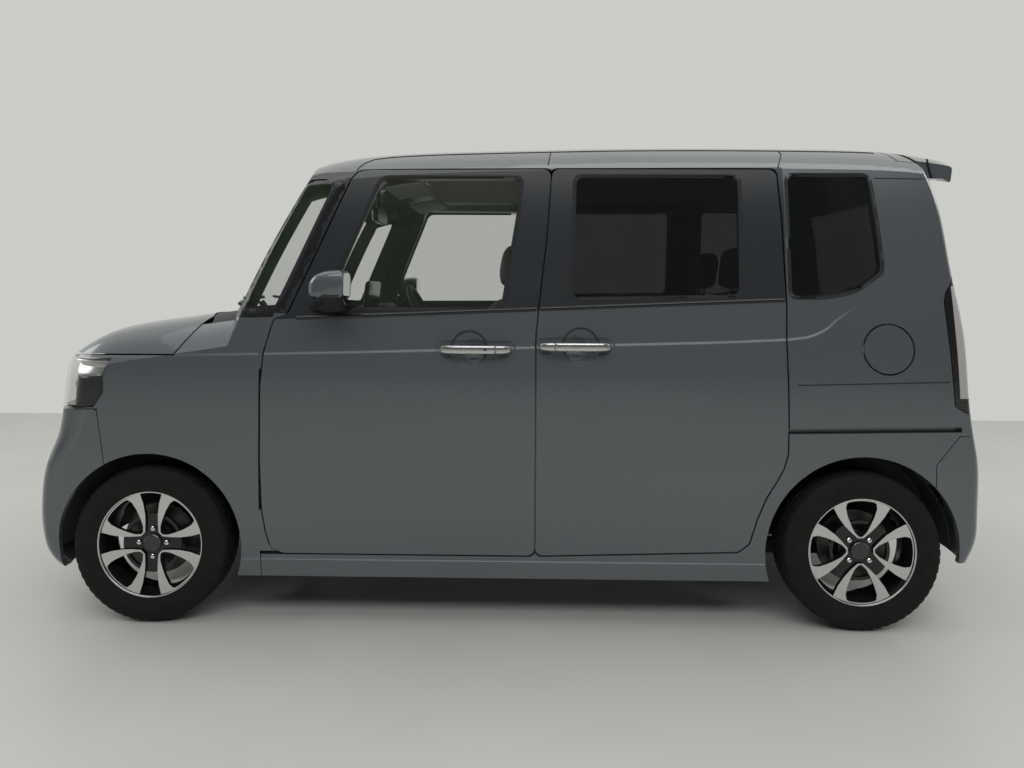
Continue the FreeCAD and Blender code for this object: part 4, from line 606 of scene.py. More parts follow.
def patch(name, place, outer, holes, finish, cut=0.03, outward=None):
    """A thin panel inside an outline; place turns a point of the outline into one on a surface."""
    mesh = flat_mesh(outer, holes)
    work = bmesh.new()
    work.from_mesh(mesh)
    sliced(work, cut)
    lost = []
    for vertex in work.verts:
        spot = place(vertex.co.x, vertex.co.y)
        if spot is None:
            lost.append(vertex)
        else:
            vertex.co = spot
    bmesh.ops.delete(work, geom=lost, context="VERTS")
    bmesh.ops.recalc_face_normals(work, faces=work.faces[:])
    if outward is not None and sum((face.normal.dot(Vector(outward)) for face in work.faces), 0.0) < 0:
        bmesh.ops.reverse_faces(work, faces=work.faces[:])
    for face in work.faces:
        face.smooth = True
    work.to_mesh(mesh)
    work.free()
    mesh.materials.clear()
    mesh.materials.append(made[finish])
    return new_item(name, mesh)


def along_line(points, step):
    """Points at even steps along a line through points."""
    out = [Vector(points[0])]
    for start, end in zip(points, points[1:]):
        start, end = Vector(start), Vector(end)
        count = max(1, round((end - start).length / step))
        out += [start.lerp(end, index / count) for index in range(1, count + 1)]
    return out


def ribbon(name, place, line, profile, finish, step=0.02, flip=False):
    """A moulded strip along a line; profile gives (across, out) points and place finds them."""
    rows = []
    for point in along_line(line, step):
        row = [place(point.x, point.y + up, out) for up, out in profile]
        if all(spot is not None for spot in row):
            rows.append(row)
    points = [spot for row in rows for spot in row]
    width = len(profile)
    faces = [(a * width + b, a * width + b + 1, (a + 1) * width + b + 1, (a + 1) * width + b)
             for a in range(len(rows) - 1) for b in range(width - 1)]
    if flip:
        faces = [face[::-1] for face in faces]
    return mesh_object(name, points, faces, finish)


def outward_faces(item, sharp, merge=False):
    """Turn the faces of a closed skin outwards and mark its sharp edges."""
    work = bmesh.new()
    work.from_mesh(item.data)
    if merge:
        bmesh.ops.remove_doubles(work, verts=work.verts[:], dist=1e-6)
    bmesh.ops.recalc_face_normals(work, faces=work.faces[:])
    work.to_mesh(item.data)
    work.free()
    item.data.set_sharp_from_angle(angle=math.radians(sharp))
    return item


def loft(name, loops, finish, sharp=40):
    """A closed skin through loops of equal length, flat at both ends."""
    points = [point for loop in loops for point in loop]
    size = len(loops[0])
    faces = [(a * size + b, a * size + (b + 1) % size, (a + 1) * size + (b + 1) % size,
              (a + 1) * size + b) for a in range(len(loops) - 1) for b in range(size)]
    faces += [tuple(range(size)), tuple(range(len(points) - size, len(points)))]
    return outward_faces(mesh_object(name, points, faces, finish), sharp)


def oval(count, half_a, half_b, power=2.6):
    """Points of a squarish oval about zero."""
    out = []
    for step in range(count):
        angle = math.tau * step / count
        a, b = math.cos(angle), math.sin(angle)
        out.append((math.copysign(abs(a) ** (2 / power), a) * half_a,
                    math.copysign(abs(b) ** (2 / power), b) * half_b))
    return out


def tube(name, points, radius, finish, closed=False, sides=8):
    """A round bar along points, as a mesh."""
    curve = bpy.data.curves.new(name, "CURVE")
    curve.dimensions = "3D"
    curve.bevel_depth = radius
    curve.bevel_resolution = max(1, sides // 4)
    spline = curve.splines.new("POLY")
    spline.points.add(len(points) - 1)
    for spot, point in zip(spline.points, points):
        spot.co = (*point, 1)
    spline.use_cyclic_u = closed
    curve.use_fill_caps = True
    mesh = curve_mesh(curve)
    mesh.materials.clear()
    mesh.materials.append(made[finish])
    mesh.polygons.foreach_set("use_smooth", [True] * len(mesh.polygons))
    return new_item(name, mesh)


print("helpers ready")

# %% [markdown]
# The wheels are built once about a wheel's own middle, with the outer face towards -Y, and set in
# four places. Turned parts come from a profile of (radius, outward) points. The spoked face is a
# plate from an outline, dished and given a depth; its front is machined and the rest is black.

# %% Wheels
TYRE_RADIUS, TRACK_HALF = 0.2785, 0.6525
WHEELS = [(end, side, Vector((x, sign * TRACK_HALF, TYRE_RADIUS)), 0.0 if sign < 0 else math.pi, turn)
          for end, x, turn in (("front", -1.2645, 0.0), ("rear", 1.2555, math.radians(45)))
          for side, sign in SIDES]
CORNER = 35


def spun(name, profile, finish, count=96, closed=True, lift=None):
    """A turned mesh about the axle; lift can move a point's radius at a step."""
    points, faces = [], []
    rows = len(profile)
    for step in range(count):
        angle = math.tau * step / count
        for row, (radius, out) in enumerate(profile):
            real = radius if lift is None else lift(step, row, radius, out)
            points.append((real * math.cos(angle), -out, real * math.sin(angle)))
    for step in range(count):
        after = (step + 1) % count
        for row in range(rows if closed else rows - 1):
            up = (row + 1) % rows
            faces.append((step * rows + row, after * rows + row, after * rows + up, step * rows + up))
    return outward_faces(mesh_object(name, points, faces, finish), CORNER, True)


def plate(name, outer, holes, front, depth, face_finish, wall_finish, cut=0.012):
    """A dished plate with a depth, from an outline in the wheel's face."""
    mesh = flat_mesh(outer, holes)
    work = bmesh.new()
    work.from_mesh(mesh)
    sliced(work, cut)
    count = len(work.verts)
    work.verts.index_update()
    flat = [vertex.co.copy() for vertex in work.verts]
    points = [(co.x, -front(co.x, co.y), co.y) for co in flat]
    points += [(co.x, -front(co.x, co.y) + depth, co.y) for co in flat]
    faces = [tuple(vertex.index for vertex in face.verts) for face in work.faces]
    walls = [(edge.verts[0].index, edge.verts[1].index) for edge in work.edges if edge.is_boundary]
    work.free()
    bpy.data.meshes.remove(mesh)
    back = [tuple(index + count for index in face[::-1]) for face in faces]
    sides = [(a, b, b + count, a + count) for a, b in walls]
    item = mesh_object(name, points, faces + back + sides, face_finish)
    item.data.materials.append(made[wall_finish])
    for polygon in item.data.polygons:
        polygon.material_index = 0 if polygon.index < len(faces) else 1
    return outward_faces(item, CORNER)


def arc(radius, start, end, steps=10):
    """Points on a circle in the wheel's face, angles in degrees."""
    return [(radius * math.cos(math.radians(start + (end - start) * step / steps)),
             radius * math.sin(math.radians(start + (end - start) * step / steps)))
            for step in range(steps + 1)]


FACE_RADIUS = 0.1860


def dish(u, v):
    """How far out the wheel's face stands at a place."""
    return 0.0500 + 0.0105 * (math.hypot(u, v) / FACE_RADIUS) ** 1.6


OUTER_EDGE = [(0.0390, 0.0245), (0.0717, 0.0226), (0.1030, 0.0228), (0.1426, 0.0285), (0.1820, 0.0400)]
WINDOW_EDGE = [(0.0335, 0.0365), (0.0400, 0.0312), (0.0600, 0.0312), (0.0850, 0.0388),
               (0.1190, 0.0528), (0.1450, 0.0680), (0.1560, 0.0830)]
PETAL = OUTER_EDGE + arc(FACE_RADIUS, 12.5, 77.5, 16) + [(v, u) for u, v in OUTER_EDGE[::-1]]
WINDOW = WINDOW_EDGE + arc(0.1790, 31, 59, 10) + [(v, u) for u, v in WINDOW_EDGE[:0:-1]]
QUARTERS = [math.radians(90 * quarter) for quarter in range(4)]
petal = plate("petal", PETAL, [WINDOW], dish, 0.016, "machined", "gloss_black", 0.010)
inner_window = [(0.0350, 0.0390), (0.0390, 0.0350), (0.0580, 0.0338), (0.0780, 0.0385)]
inner_window += arc(0.0950, 27, 63, 6) + [(v, u) for u, v in inner_window[:1:-1]]
web_holes = [[tuple(Matrix.Rotation(angle, 2) @ Vector(point)) for point in inner_window]
             for angle in QUARTERS]
web = plate("web", arc(0.1060, 0, 360, 64)[:-1], web_holes, lambda u, v: dish(u, v) - 0.010, 0.012,
            "gloss_black", "gloss_black", 0.014)
barrel = spun("barrel", [(0.1900, 0.0668), (0.1850, 0.0650), (0.1815, 0.0560), (0.1740, 0.0470),
                         (0.1690, 0.0200), (0.1660, -0.0300), (0.1740, -0.0480), (0.1850, -0.0600),
                         (0.1900, -0.0662), (0.1908, -0.0640), (0.1860, -0.0590), (0.1790, -0.0440),
                         (0.1710, -0.0300), (0.1740, 0.0200), (0.1790, 0.0450), (0.1860, 0.0590),
                         (0.1908, 0.0640)], "gloss_black")
lip = spun("rim_lip", [(0.1836, 0.0648), (0.1850, 0.0668), (0.1895, 0.0674), (0.1909, 0.0660),
                       (0.1900, 0.0640), (0.1850, 0.0630)], "machined", 128)
cap = spun("wheel_cap", [(0.0001, 0.0535), (0.0150, 0.0533), (0.0215, 0.0524), (0.0255, 0.0500),
                         (0.0268, 0.0470), (0.0268, 0.0380), (0.0001, 0.0380)], "gloss_black", 64)
cap_ring = spun("cap_ring", [(0.0268, 0.0490), (0.0275, 0.0505), (0.0290, 0.0508), (0.0300, 0.0495),
                             (0.0300, 0.0440), (0.0268, 0.0440)], "satin_chrome", 64)
nut = spun("wheel_nut", [(0.0001, 0.0500), (0.0040, 0.0498), (0.0070, 0.0482), (0.0095, 0.0465),
                         (0.0095, 0.0360), (0.0001, 0.0360)], "bright_chrome", 6)
valve = spun("valve", [(0.0001, 0.0620), (0.0028, 0.0618), (0.0032, 0.0600), (0.0032, 0.0540),
                       (0.0042, 0.0530), (0.0045, 0.0420), (0.0001, 0.0420)], "seal_rubber", 12)

TREAD_EDGE = 0.0560
GROOVES = (-0.0400, -0.0145, 0.0145, 0.0400)
crown = []
for row in range(-28, 29):
    out = row * 0.002
    deep = any(abs(out - groove) < 0.0036 for groove in GROOVES)
    crown.append((TYRE_RADIUS - 0.0030 * (out / TREAD_EDGE) ** 2 - (0.0065 if deep else 0), out))
crown = [point for index, point in enumerate(crown)
         if index in (0, len(crown) - 1) or index % 4 == 0
         or abs(crown[index - 1][0] - point[0]) > 0.003 or abs(crown[index + 1][0] - point[0]) > 0.003]
wall = [(0.1830, 0.0600), (0.1860, 0.0655), (0.1905, 0.0690), (0.1935, 0.0686), (0.2000, 0.0715),
        (0.2120, 0.0748), (0.2240, 0.0766), (0.2360, 0.0770), (0.2368, 0.0762), (0.2460, 0.0757),
        (0.2550, 0.0738), (0.2630, 0.0712), (0.2700, 0.0668), (0.2738, 0.0612)]
TYRE = [(radius, -out) for radius, out in wall] + crown + wall[::-1]


def tread(step, row, radius, out):
    """Cross grooves in the shoulders and fine ones in the ribs between."""
    if 0.0440 < abs(out) < 0.0690 and radius > 0.2625 and (step + (2 if out > 0 else 0)) % 4 == 0:
        return radius - 0.0026
    if 0.0180 < abs(out) < 0.0370 and radius > 0.2750 and step % 4 == 1:
        return radius - 0.0035
    return radius


NUT_RADIUS, VALVE_RADIUS = 0.05, 0.158


def at_radius(radius, angle):
    """A move away from the axle in the wheel's face."""
    return Matrix.Translation((radius * math.cos(angle), 0, radius * math.sin(angle)))


def moved_copy(piece, name, matrix):
    """A moved copy of a piece's mesh as a new object."""
    mesh = piece.data.copy()
    mesh.transform(matrix)
    return new_item(name, mesh)


tyre = spun("tyre", TYRE, "tyre_rubber", 224, False, tread)
for end, side, centre, facing, turn in WHEELS:
    body = f"wheel_{end}_{side}"
    base = Matrix.Translation(centre) @ Matrix.Rotation(facing, 4, "Z")
    spin = base @ Matrix.Rotation(-turn, 4, "Y")
    parts = []
    for quarter, angle in enumerate(QUARTERS):
        parts.append((petal, f"petal_{quarter}", spin @ Matrix.Rotation(angle, 4, "Y")))
        parts.append((nut, f"nut_{quarter}", spin @ at_radius(NUT_RADIUS, angle)))
    parts.append((valve, "valve", spin @ at_radius(VALVE_RADIUS, math.radians(3))))
    parts += [(piece, piece.name, spin) for piece in (web, barrel, lip, cap, cap_ring)]
    group = [moved_copy(piece, f"{end}_{side}_{label}", matrix) for piece, label, matrix in parts]
    with bpy.context.temp_override(active_object=group[0], selected_editable_objects=group,
                                   object=group[0], selected_objects=group):
        bpy.ops.object.join()
    rim = group[0]
    rim.name = f"{end}_rim_{side}"
    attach(rim, body)
    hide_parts(f"{end}_wheel_{side}")
    item = moved_copy(tyre, f"{end}_tyre_carcass_{side}", base)
    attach(item, body)
    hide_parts(f"{end}_tyre_{side}")
for piece in (petal, web, barrel, lip, cap, cap_ring, nut, valve, tyre):
    bpy.data.objects.remove(piece)
print("wheels made, tyre rows", len(TYRE))

# %% [markdown]
# The windows get their black printed borders, rubber seals and belt mouldings. The front quarter
# pane is dark but for a clear middle; the roof has a thin black joint along each side.

# %% Window borders, seals and mouldings
QUARTER_FIELD = [(-1.024, 1.092), (-0.776, 1.092), (-0.700, 1.257), (-0.556, 1.618), (-0.742, 1.618),
                 (-0.800, 1.545), (-0.904, 1.326)]
QUARTER_CLEAR = [(-0.794, 1.153), (-0.833, 1.128), (-0.903, 1.132), (-0.917, 1.154), (-0.854, 1.300),
                 (-0.775, 1.467), (-0.725, 1.572), (-0.622, 1.572), (-0.659, 1.472)]
DOOR_PANE = [(-0.650, 1.120), (-0.575, 1.309), (-0.454, 1.600), (0.060, 1.600), (0.048, 1.485),
             (-0.010, 1.124)]
SLIDE_PANE = [(0.229, 1.160), (0.247, 1.606), (0.838, 1.606), (0.834, 1.172)]
REAR_PANE = [(1.004, 1.168), (1.131, 1.170), (1.234, 1.191), (1.328, 1.258), (1.332, 1.285),
             (1.323, 1.397), (1.299, 1.612), (1.002, 1.612)]


def grown_outline(points, by):
    """An outline moved out from its own middle by about a distance."""
    middle = Vector((sum(x for x, _ in points) / len(points), sum(z for _, z in points) / len(points)))
    out = []
    for index, point in enumerate(points):
        before = (Vector(point) - Vector(points[index - 1])).normalized()
        after = (Vector(points[(index + 1) % len(points)]) - Vector(point)).normalized()
        push = Vector((before.y + after.y, -before.x - after.x))
        push /= max(0.4, push.length_squared / 2)
        if push.dot(Vector(point) - middle) < 0:
            push = -push
        moved = Vector(point) + push * by
        out.append((moved.x, moved.y))
    return out


BELT = [(-0.006, 0.0006), (-0.0045, 0.0035), (0.0045, 0.0042), (0.0085, 0.0010)]
ROOF_JOINTS = {
    "roof_joint": [(-0.5544, 0.6069), (-0.5508, 0.5736), (-0.5370, 0.5336), (-0.5117, 0.4940),
                   (-0.4600, 0.4800)] + [(-0.40 + 0.06 * step, 0.4760) for step in range(31)],
    "front_joint": [(0.1526, 0.6204), (0.1580, 0.5590), (0.1660, 0.4900), (0.1665, 0.4770)],
    "rear_joint": [(0.9780, 0.6490), (1.0050, 0.5900), (1.0310, 0.5240), (1.0340, 0.4770)]}
SIDE_JOINTS = {"rail_joint": [(1.318, 1.5985), (1.500, 1.5966)],
               "quarter_joint": [(0.992, 0.8640), (1.546, 0.8790)]}


def joint_line(name, spots, radius):
    """A thin dark joint through the places that were found."""
    joint = tube(name, [spot for spot in spots if spot is not None], radius, "seal_rubber")
    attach(joint, "body")


for side, sign in SIDES:
    face = (0, sign, 0)
    quarter = patch(f"quarter_border_{side}", beside("side_frames side_glass", sign, 0.0007),
                    QUARTER_FIELD, [rounded(QUARTER_CLEAR, 0.02)], "frame_black", 0.02, face)
    door_names = f"front_door_{side} front_door_glass_{side}"
    panes = [("door_seal", door_names, DOOR_PANE, f"door_{side}"),
             ("slide_seal", "sliding_doors side_glass", SLIDE_PANE, "body"),
             ("rear_seal", "side_frames side_glass", REAR_PANE, "body")]
    for label, names, pane, body in panes:
        seal = patch(f"{label}_{side}", beside(names, sign, 0.0012),
                     rounded(grown_outline(pane, 0.006), 0.036),
                     [rounded(grown_outline(pane, -0.008), 0.026)], "seal_rubber", 0.02, face)
        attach(seal, body)
    front_belt = ribbon(f"belt_front_{side}", beside(f"front_door_{side}", sign),
                        [(-0.742, 1.0882), (0.112, 1.1240)], BELT, "gloss_black", 0.03, sign > 0)
    rear_belt = ribbon(f"belt_slide_{side}", beside("sliding_doors", sign),
                       [(0.124, 1.1245), (0.984, 1.1606)], BELT, "gloss_black", 0.03, sign > 0)
    for label, line in ROOF_JOINTS.items():
        joint_line(f"{label}_{side}", [top_point("roof_panel side_frames", point.x, sign * point.y, 0.0004)
                                       for point in along_line(line, 0.02)], 0.0022)
    for label, line in SIDE_JOINTS.items():
        joint_line(f"{label}_{side}", [side_point("side_frames", sign, point.x, point.y)
                                       for point in along_line(line, 0.03)], 0.0019)
    ride_all((quarter, rear_belt), "body")
    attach(front_belt, f"door_{side}")
print("window trim made")

# %% [markdown]
# The body's skin runs up to the front edge of each front door, also where that edge curves back
# at the pillar's foot and at the sill, so the gap is the same width all along.

# %% Skin in front of the doors
SKIN_START_X, SKIN_LAST_X, SKIN_LOW_Z, SKIN_STEP = -0.8720, -0.8570, 0.2600, 0.005
SCAN_START_X, SCAN_STEP = -0.8660, 0.0015
SKIN_GAP, SKIN_INTO, SKIN_SHARE = 0.0055, 0.006, 0.85

for side, sign in SIDES:
    door = f"front_door_{side}"
    rows = []
    for step in range(170):
        z = SKIN_LOW_Z + SKIN_STEP * step
        scan = (SCAN_START_X + SCAN_STEP * index for index in range(70))
        edge = next((x for x in scan if side_point(door, sign, x, z)), None)
        start = side_point("front_fenders side_frames", sign, SKIN_START_X, z)
        if edge is None or edge < SKIN_LAST_X or start is None:
            rows.append(None)
            continue
        stop = side_point(door, sign, edge + SKIN_INTO, z)
        y = start.y + (stop.y - start.y) * SKIN_SHARE
        rows.append(((start.x, start.y + sign * 0.0004, z), (edge - SKIN_GAP, y, z)))
    points, faces = [], []
    for row, after in zip(rows, rows[1:]):
        if row and after:
            faces.append(tuple(range(len(points), len(points) + 4))[::-sign])
            points += [row[0], row[1], after[1], after[0]]
    if faces:
        skin = mesh_object(f"pillar_skin_{side}", points, faces, "body_paint")
        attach(skin, "body")
print("pillar skins made")

# %% [markdown]
# The mirrors are lofted housings with a painted cap over a black base. The door handles are
# satin bars with a separate end piece, standing on two black feet over the cups.

# %% Mirrors and handles
HOUSING = rounded([(-0.6575, 1.172), (-0.6570, 1.214), (-0.6380, 1.240), (-0.6000, 1.2545),
                   (-0.5480, 1.2585), (-0.5350, 1.2500), (-0.5350, 1.1580), (-0.5620, 1.1530),
                   (-0.6400, 1.1540)], 0.014)
HOUSING_X, HOUSING_Z, CAP_LOW_Z, GLASS_X = 0.5350, 1.206, 1.1705, -0.5344
HOUSING_ROWS = ((0.7780, 0.50), (0.7825, 0.78), (0.7920, 0.93), (0.8100, 0.985), (0.8400, 1.0),
                (0.8700, 0.985), (0.8880, 0.93), (0.8990, 0.80), (0.9040, 0.60))
FOOT_ROWS = ((0.7080, -0.622, 1.128, 0.080, 0.028), (0.7250, -0.618, 1.129, 0.066, 0.024),
             (0.7500, -0.608, 1.134, 0.048, 0.017), (0.7750, -0.600, 1.145, 0.040, 0.013),
             (0.8000, -0.596, 1.156, 0.036, 0.012), (0.8300, -0.594, 1.164, 0.030, 0.008))
MIRROR_GLASS = rounded([(0.796, 1.168), (0.890, 1.172), (0.884, 1.244), (0.800, 1.247)], 0.012)
for side, sign in SIDES:
    loops = [[(-HOUSING_X + (x + HOUSING_X) * scale, sign * y, HOUSING_Z + (z - HOUSING_Z) * scale)
              for x, z in HOUSING] for y, scale in HOUSING_ROWS]
    shell = loft(f"mirror_shell_{side}", loops, "body_paint", 50)
    shell.data.materials.append(made["gloss_black"])
    for polygon in shell.data.polygons:
        polygon.material_index = 1 if polygon.center.z < CAP_LOW_Z else 0
    arm = loft(f"mirror_arm_{side}", [[(x + a, sign * y, z + b) for a, b in oval(24, half_x, half_z)]
                                      for y, x, z, half_x, half_z in FOOT_ROWS], "frame_black", 60)
    glass_plate = mesh_object(f"mirror_glass_{side}", [(GLASS_X, sign * y, z) for y, z in MIRROR_GLASS],
                              [tuple(range(len(MIRROR_GLASS)))[::sign]], "bright_chrome", False)
    ride_all((shell, arm, glass_plate), f"door_{side}")
    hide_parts(f"mirror_{side}")

BAR = ((-0.1268, 0.7400, 0.0040, 0.0075), (-0.1225, 0.7450, 0.0072, 0.0110),
       (-0.1120, 0.7520, 0.0090, 0.0132), (-0.0950, 0.7580, 0.0098, 0.0144),
       (-0.0600, 0.7622, 0.0100, 0.0149), (0.0000, 0.7632, 0.0100, 0.0149),
       (0.0500, 0.7622, 0.0100, 0.0148), (0.0690, 0.7606, 0.0099, 0.0146),
       (0.0700, 0.7605, 0.0092, 0.0139))
END_PIECE = ((0.0722, 0.7603, 0.0092, 0.0138), (0.0732, 0.7602, 0.0098, 0.0145),
             (0.0950, 0.7575, 0.0096, 0.0140), (0.1120, 0.7520, 0.0088, 0.0126),
             (0.1225, 0.7450, 0.0070, 0.0104), (0.1262, 0.7405, 0.0040, 0.0072))
for side, sign in SIDES:
    for label, node, middle_x, middle_z, turn, body in (
            ("front", f"front_door_handle_{side}", -0.104, 0.984, 1, f"door_{side}"),
            ("slide", "sliding_door_handles", 0.245, 0.9952, -1, "body")):
        pieces = []
        for part_name, rows in (("bar", BAR), ("end", END_PIECE)):
            loops = [[(middle_x + turn * along, sign * (out + a), middle_z + b)
                      for a, b in oval(20, half_y, half_z, 3.2)] for along, out, half_y, half_z in rows]
            pieces.append(loft(f"{label}_handle_{part_name}_{side}", loops, "satin_chrome", 60))
        for at in (-0.100, 0.098):
            loops = [[(middle_x + turn * at + a, sign * out, middle_z + b)
                      for a, b in oval(16, 0.016, 0.011)] for out in (0.7180, 0.7540)]
            pieces.append(loft(f"{label}_handle_foot_{at > 0:d}_{side}", loops, "frame_black", 60))
        if label == "front":
            loops = [[(middle_x + 0.036 + a * size, sign * out, middle_z + 0.001 + b * size)
                      for a, b in oval(16, 0.0045, 0.0045, 2)]
                     for out, size in ((0.7715, 1), (0.7738, 1), (0.7739, 0.7))]
            pieces.append(loft(f"handle_button_{side}", loops, "seal_rubber"))
        ride_all(pieces, body)
        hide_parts(node)
print("mirrors and handles made")

# %% [markdown]
# Lamps are lenses over dark or chromed insides. The inside of a headlamp is bright above its
# dividing rib and dark below; a tail lamp has a black front edge, a pale lens and red bars.

# %% Lamps, grille and intake
LAMP_RIB_Z = 0.8830
TAIL_RED, TAIL_EDGE, TAIL_LOW_Z, TAIL_HIGH_Z = (0.634, 0.700), (-0.0430, 1.6170), 0.822, 1.214
PANE_CHANGE_X, PANE_DARK, PANE_CLEARER = -0.450, 0.60, 0.485
SPOT_RINGS = (("rim", ((0.027, -0.002), (0.0275, 0.004), (0.025, 0.0055), (0.0225, 0.001)), "satin_chrome"),
              ("lens", ((0.0225, 0.000), (0.0195, 0.0042), (0.013, 0.0062), (0.006, 0.0070)),
               "lamp_clear"))


def refinish(name, finish):
    """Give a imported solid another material."""
    for slot in nodes[name].material_slots:
        slot.material = made[finish]


inside, inside_shader = surface("headlamp_inside", (0.012, 0.012, 0.013), 0.22, Coat_Weight=0.5)
bright = rest_place(inside)[2] > LAMP_RIB_Z
toned(inside, inside_shader, bright, (0.78, 0.78, 0.77))
link(inside, bright, inside_shader.inputs["Metallic"])
vary_roughness(inside, inside_shader, noise(inside, 60), 0.10, 0.24)
refinish("headlamp_housings", "headlamp_inside")

tail_lens, tail_shader = surface("tail_lens", (0.50, 0.47, 0.46), 0.07, Coat_Weight=1.0,
                                 Coat_Roughness=0.02)
x, y, z = rest_place(tail_lens)
relief(tail_lens, tail_shader, calc("SINE", z * 900.0), 0.25, 0.0006)
across = abs(y)
toned(tail_lens, tail_shader, (across < TAIL_RED[1]) * (across > TAIL_RED[0]), (0.42, 0.012, 0.014))
past_ends = calc("MAXIMUM", z > TAIL_HIGH_Z, z < TAIL_LOW_Z)
black = calc("MAXIMUM", x < z * TAIL_EDGE[0] + TAIL_EDGE[1], past_ends)
toned(tail_lens, tail_shader, black, (0.010, 0.010, 0.011))
refinish("tail_lamps", "tail_lens")

panes = glass("side_panes", (0.008, 0.009, 0.010), 0.12)
panes_shader = panes.node_tree.nodes["Principled BSDF"]
ahead = rest_place(panes)[0] < PANE_CHANGE_X
toned(panes, panes_shader, ahead, (0.10, 0.15, 0.08))
link(panes, PANE_DARK - ahead * PANE_CLEARER, panes_shader.inputs["Alpha"])
refinish("side_glass", "side_panes")

for side, sign in SIDES:
    for place_y in (0.520, 0.605):
        spot = end_point("headlamp_housings", -1, sign * place_y, 0.836, 0.0)
        if spot is None:
            continue
        for label, rings, finish in SPOT_RINGS:
            loops = [[(spot.x - out, spot.y + a, spot.z + b) for a, b in oval(28, r, r * 0.82, 2.2)]
                     for r, out in rings]
            piece = loft(f"headlamp_{label}_{place_y * 1000:.0f}_{side}", loops, finish)
            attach(piece, "body")
    rib = ribbon(f"headlamp_rib_{side}", beside("headlamp_housings", sign),
                 [(-1.598, LAMP_RIB_Z), (-1.500, 0.8820), (-1.428, 0.8810)],
                 [(-0.0035, 0.0), (-0.0025, 0.0040), (0.0025, 0.0040), (0.0035, 0.0)],
                 "bright_chrome", 0.008, sign > 0)
    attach(rib, "body")


INTAKE_ROW_Z, INTAKE_LOW_Z, INTAKE_HIGH_Z, NET_DEPTH = 0.258, 0.276, 0.434, 0.036
bar = ribbon("grille_bar", lambda y, up, out: end_point("grille", -1, y, up, out),
             [(-0.425, 0.925), (0.425, 0.925)],
             [(-0.007, 0.0), (-0.0055, 0.0045), (0.0055, 0.0055), (0.007, 0.0)], "bright_chrome", 0.02)
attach(bar, "body")
spots = [end_point("front_bumper", -1, step * 0.021, INTAKE_ROW_Z) for step in range(-20, 21)]
for row, z in enumerate((0.300, 0.338, 0.376, 0.412)):
    slat = loft(f"intake_slat_{row}", [[(spot.x + 0.022 + a, spot.y, z + b) for a, b in
                                       oval(10, 0.011, 0.0045)] for spot in spots], "black_trim")
    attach(slat, "body")
width = len(spots)
net = mesh_object("intake_net", [(spot.x + NET_DEPTH, spot.y, z) for z in (INTAKE_LOW_Z, INTAKE_HIGH_Z)
                                 for spot in spots],
                  [(a, a + 1, a + width + 1, a + width) for a in range(width - 1)], "liner")
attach(net, "body")
print("lamps and grille made")

# %% [markdown]
# Wipers: each blade follows the pane, held by an arm from a pivot with a cap nut.

# %% Wipers
def wiper(name, body, blade, elbow, pivot, lift):
    """A blade along points on a pane, and its arm from a pivot; lift is out of the pane."""
    lift = Vector(lift)
    pieces = [tube(f"{name}_rubber", [point + lift * 0.003 for point in blade], 0.0028, "seal_rubber"),
              tube(f"{name}_spine", [point + lift * 0.010 for point in blade], 0.0052, "frame_black"),
              tube(f"{name}_arm", [pivot + lift * 0.012, elbow + lift * 0.020,
                                   blade[len(blade) // 2] + lift * 0.020], 0.0060, "frame_black"),
              tube(f"{name}_cap", [pivot - lift * 0.004, pivot + lift * 0.022], 0.014, "black_trim")]
    ride_all(pieces, body)


def pane_row(names, end, start, stop, count=12):
    """Points across a pane, from (y, z) to (y, z)."""
    out = []
    for step in range(count + 1):
        share = step / count
        spot = end_point(names, end, start[0] + (stop[0] - start[0]) * share,
                         start[1] + (stop[1] - start[1]) * share)
        if spot is not None:
            out.append(spot)
    return out


OUT_OF_SCREEN = (-0.62, 0, 0.78)
for label, start, stop, pivot in (("left", (-0.090, 1.150), (-0.600, 1.128), (-1.075, -0.100)),
                                  ("right", (0.040, 1.150), (0.585, 1.130), (-1.062, 0.520))):
    blade = pane_row("windscreen", -1, start, stop)
    base = top_point("cowl_panel", *pivot)
    if blade and base is not None:
        elbow = base.lerp(blade[len(blade) // 2], 0.45) + Vector((-0.006, 0, 0.004))
        wiper(f"wiper_{label}", "body", blade, elbow, base, OUT_OF_SCREEN)
blade = pane_row("tailgate_glass", 1, (-0.040, 1.205), (0.290, 1.205))
base = end_point("tailgate tailgate_glass", 1, 0.0, 1.150)
if blade and base is not None:
    wiper("wiper_rear", "tailgate", blade, base.lerp(blade[4], 0.6) + Vector((0.004, 0, 0)), base,
          (0.98, 0, 0.15))
print("wipers made")

# %% [markdown]
# The roof spoiler is a lofted wing with a blunt rear edge, a brake light in its middle and a dark
# joint at each end.

# %% Spoiler
sections = []
for step in range(25):
    y = 0.552 * (step / 12 - 1)
    tops = [(x, top_point("roof_spoiler", x, y * 0.998)) for x in (1.492, 1.520, 1.560, 1.600, 1.640)]
    line = [(x, spot.z) for x, spot in tops if spot is not None]
    end_z = line[-1][1] - 0.0015
    line += [(1.6515, end_z - 0.004), (1.6540, end_z - 0.012), (1.6490, end_z - 0.052),
             (1.6440, end_z - 0.060), (1.6180, max(1.614, end_z - 0.070)),
             (1.5840, max(1.6135, end_z - 0.082)), (1.5640, max(1.616, end_z - 0.076)),
             (1.5300, line[1][1] - 0.030)]
    sections.append([(x, y, z) for x, z in line])
wing = loft("spoiler_wing", sections, "body_paint", 32)
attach(wing, "tailgate")
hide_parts("roof_spoiler")
brake_loops = [[(1.6470 + a, step * 0.012, 1.7230 + b) for a, b in oval(12, 0.0075, 0.0100, 4)]
               for step in range(-10, 11)]
brake = loft("brake_light", brake_loops, "lamp_rear_red")
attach(brake, "tailgate")
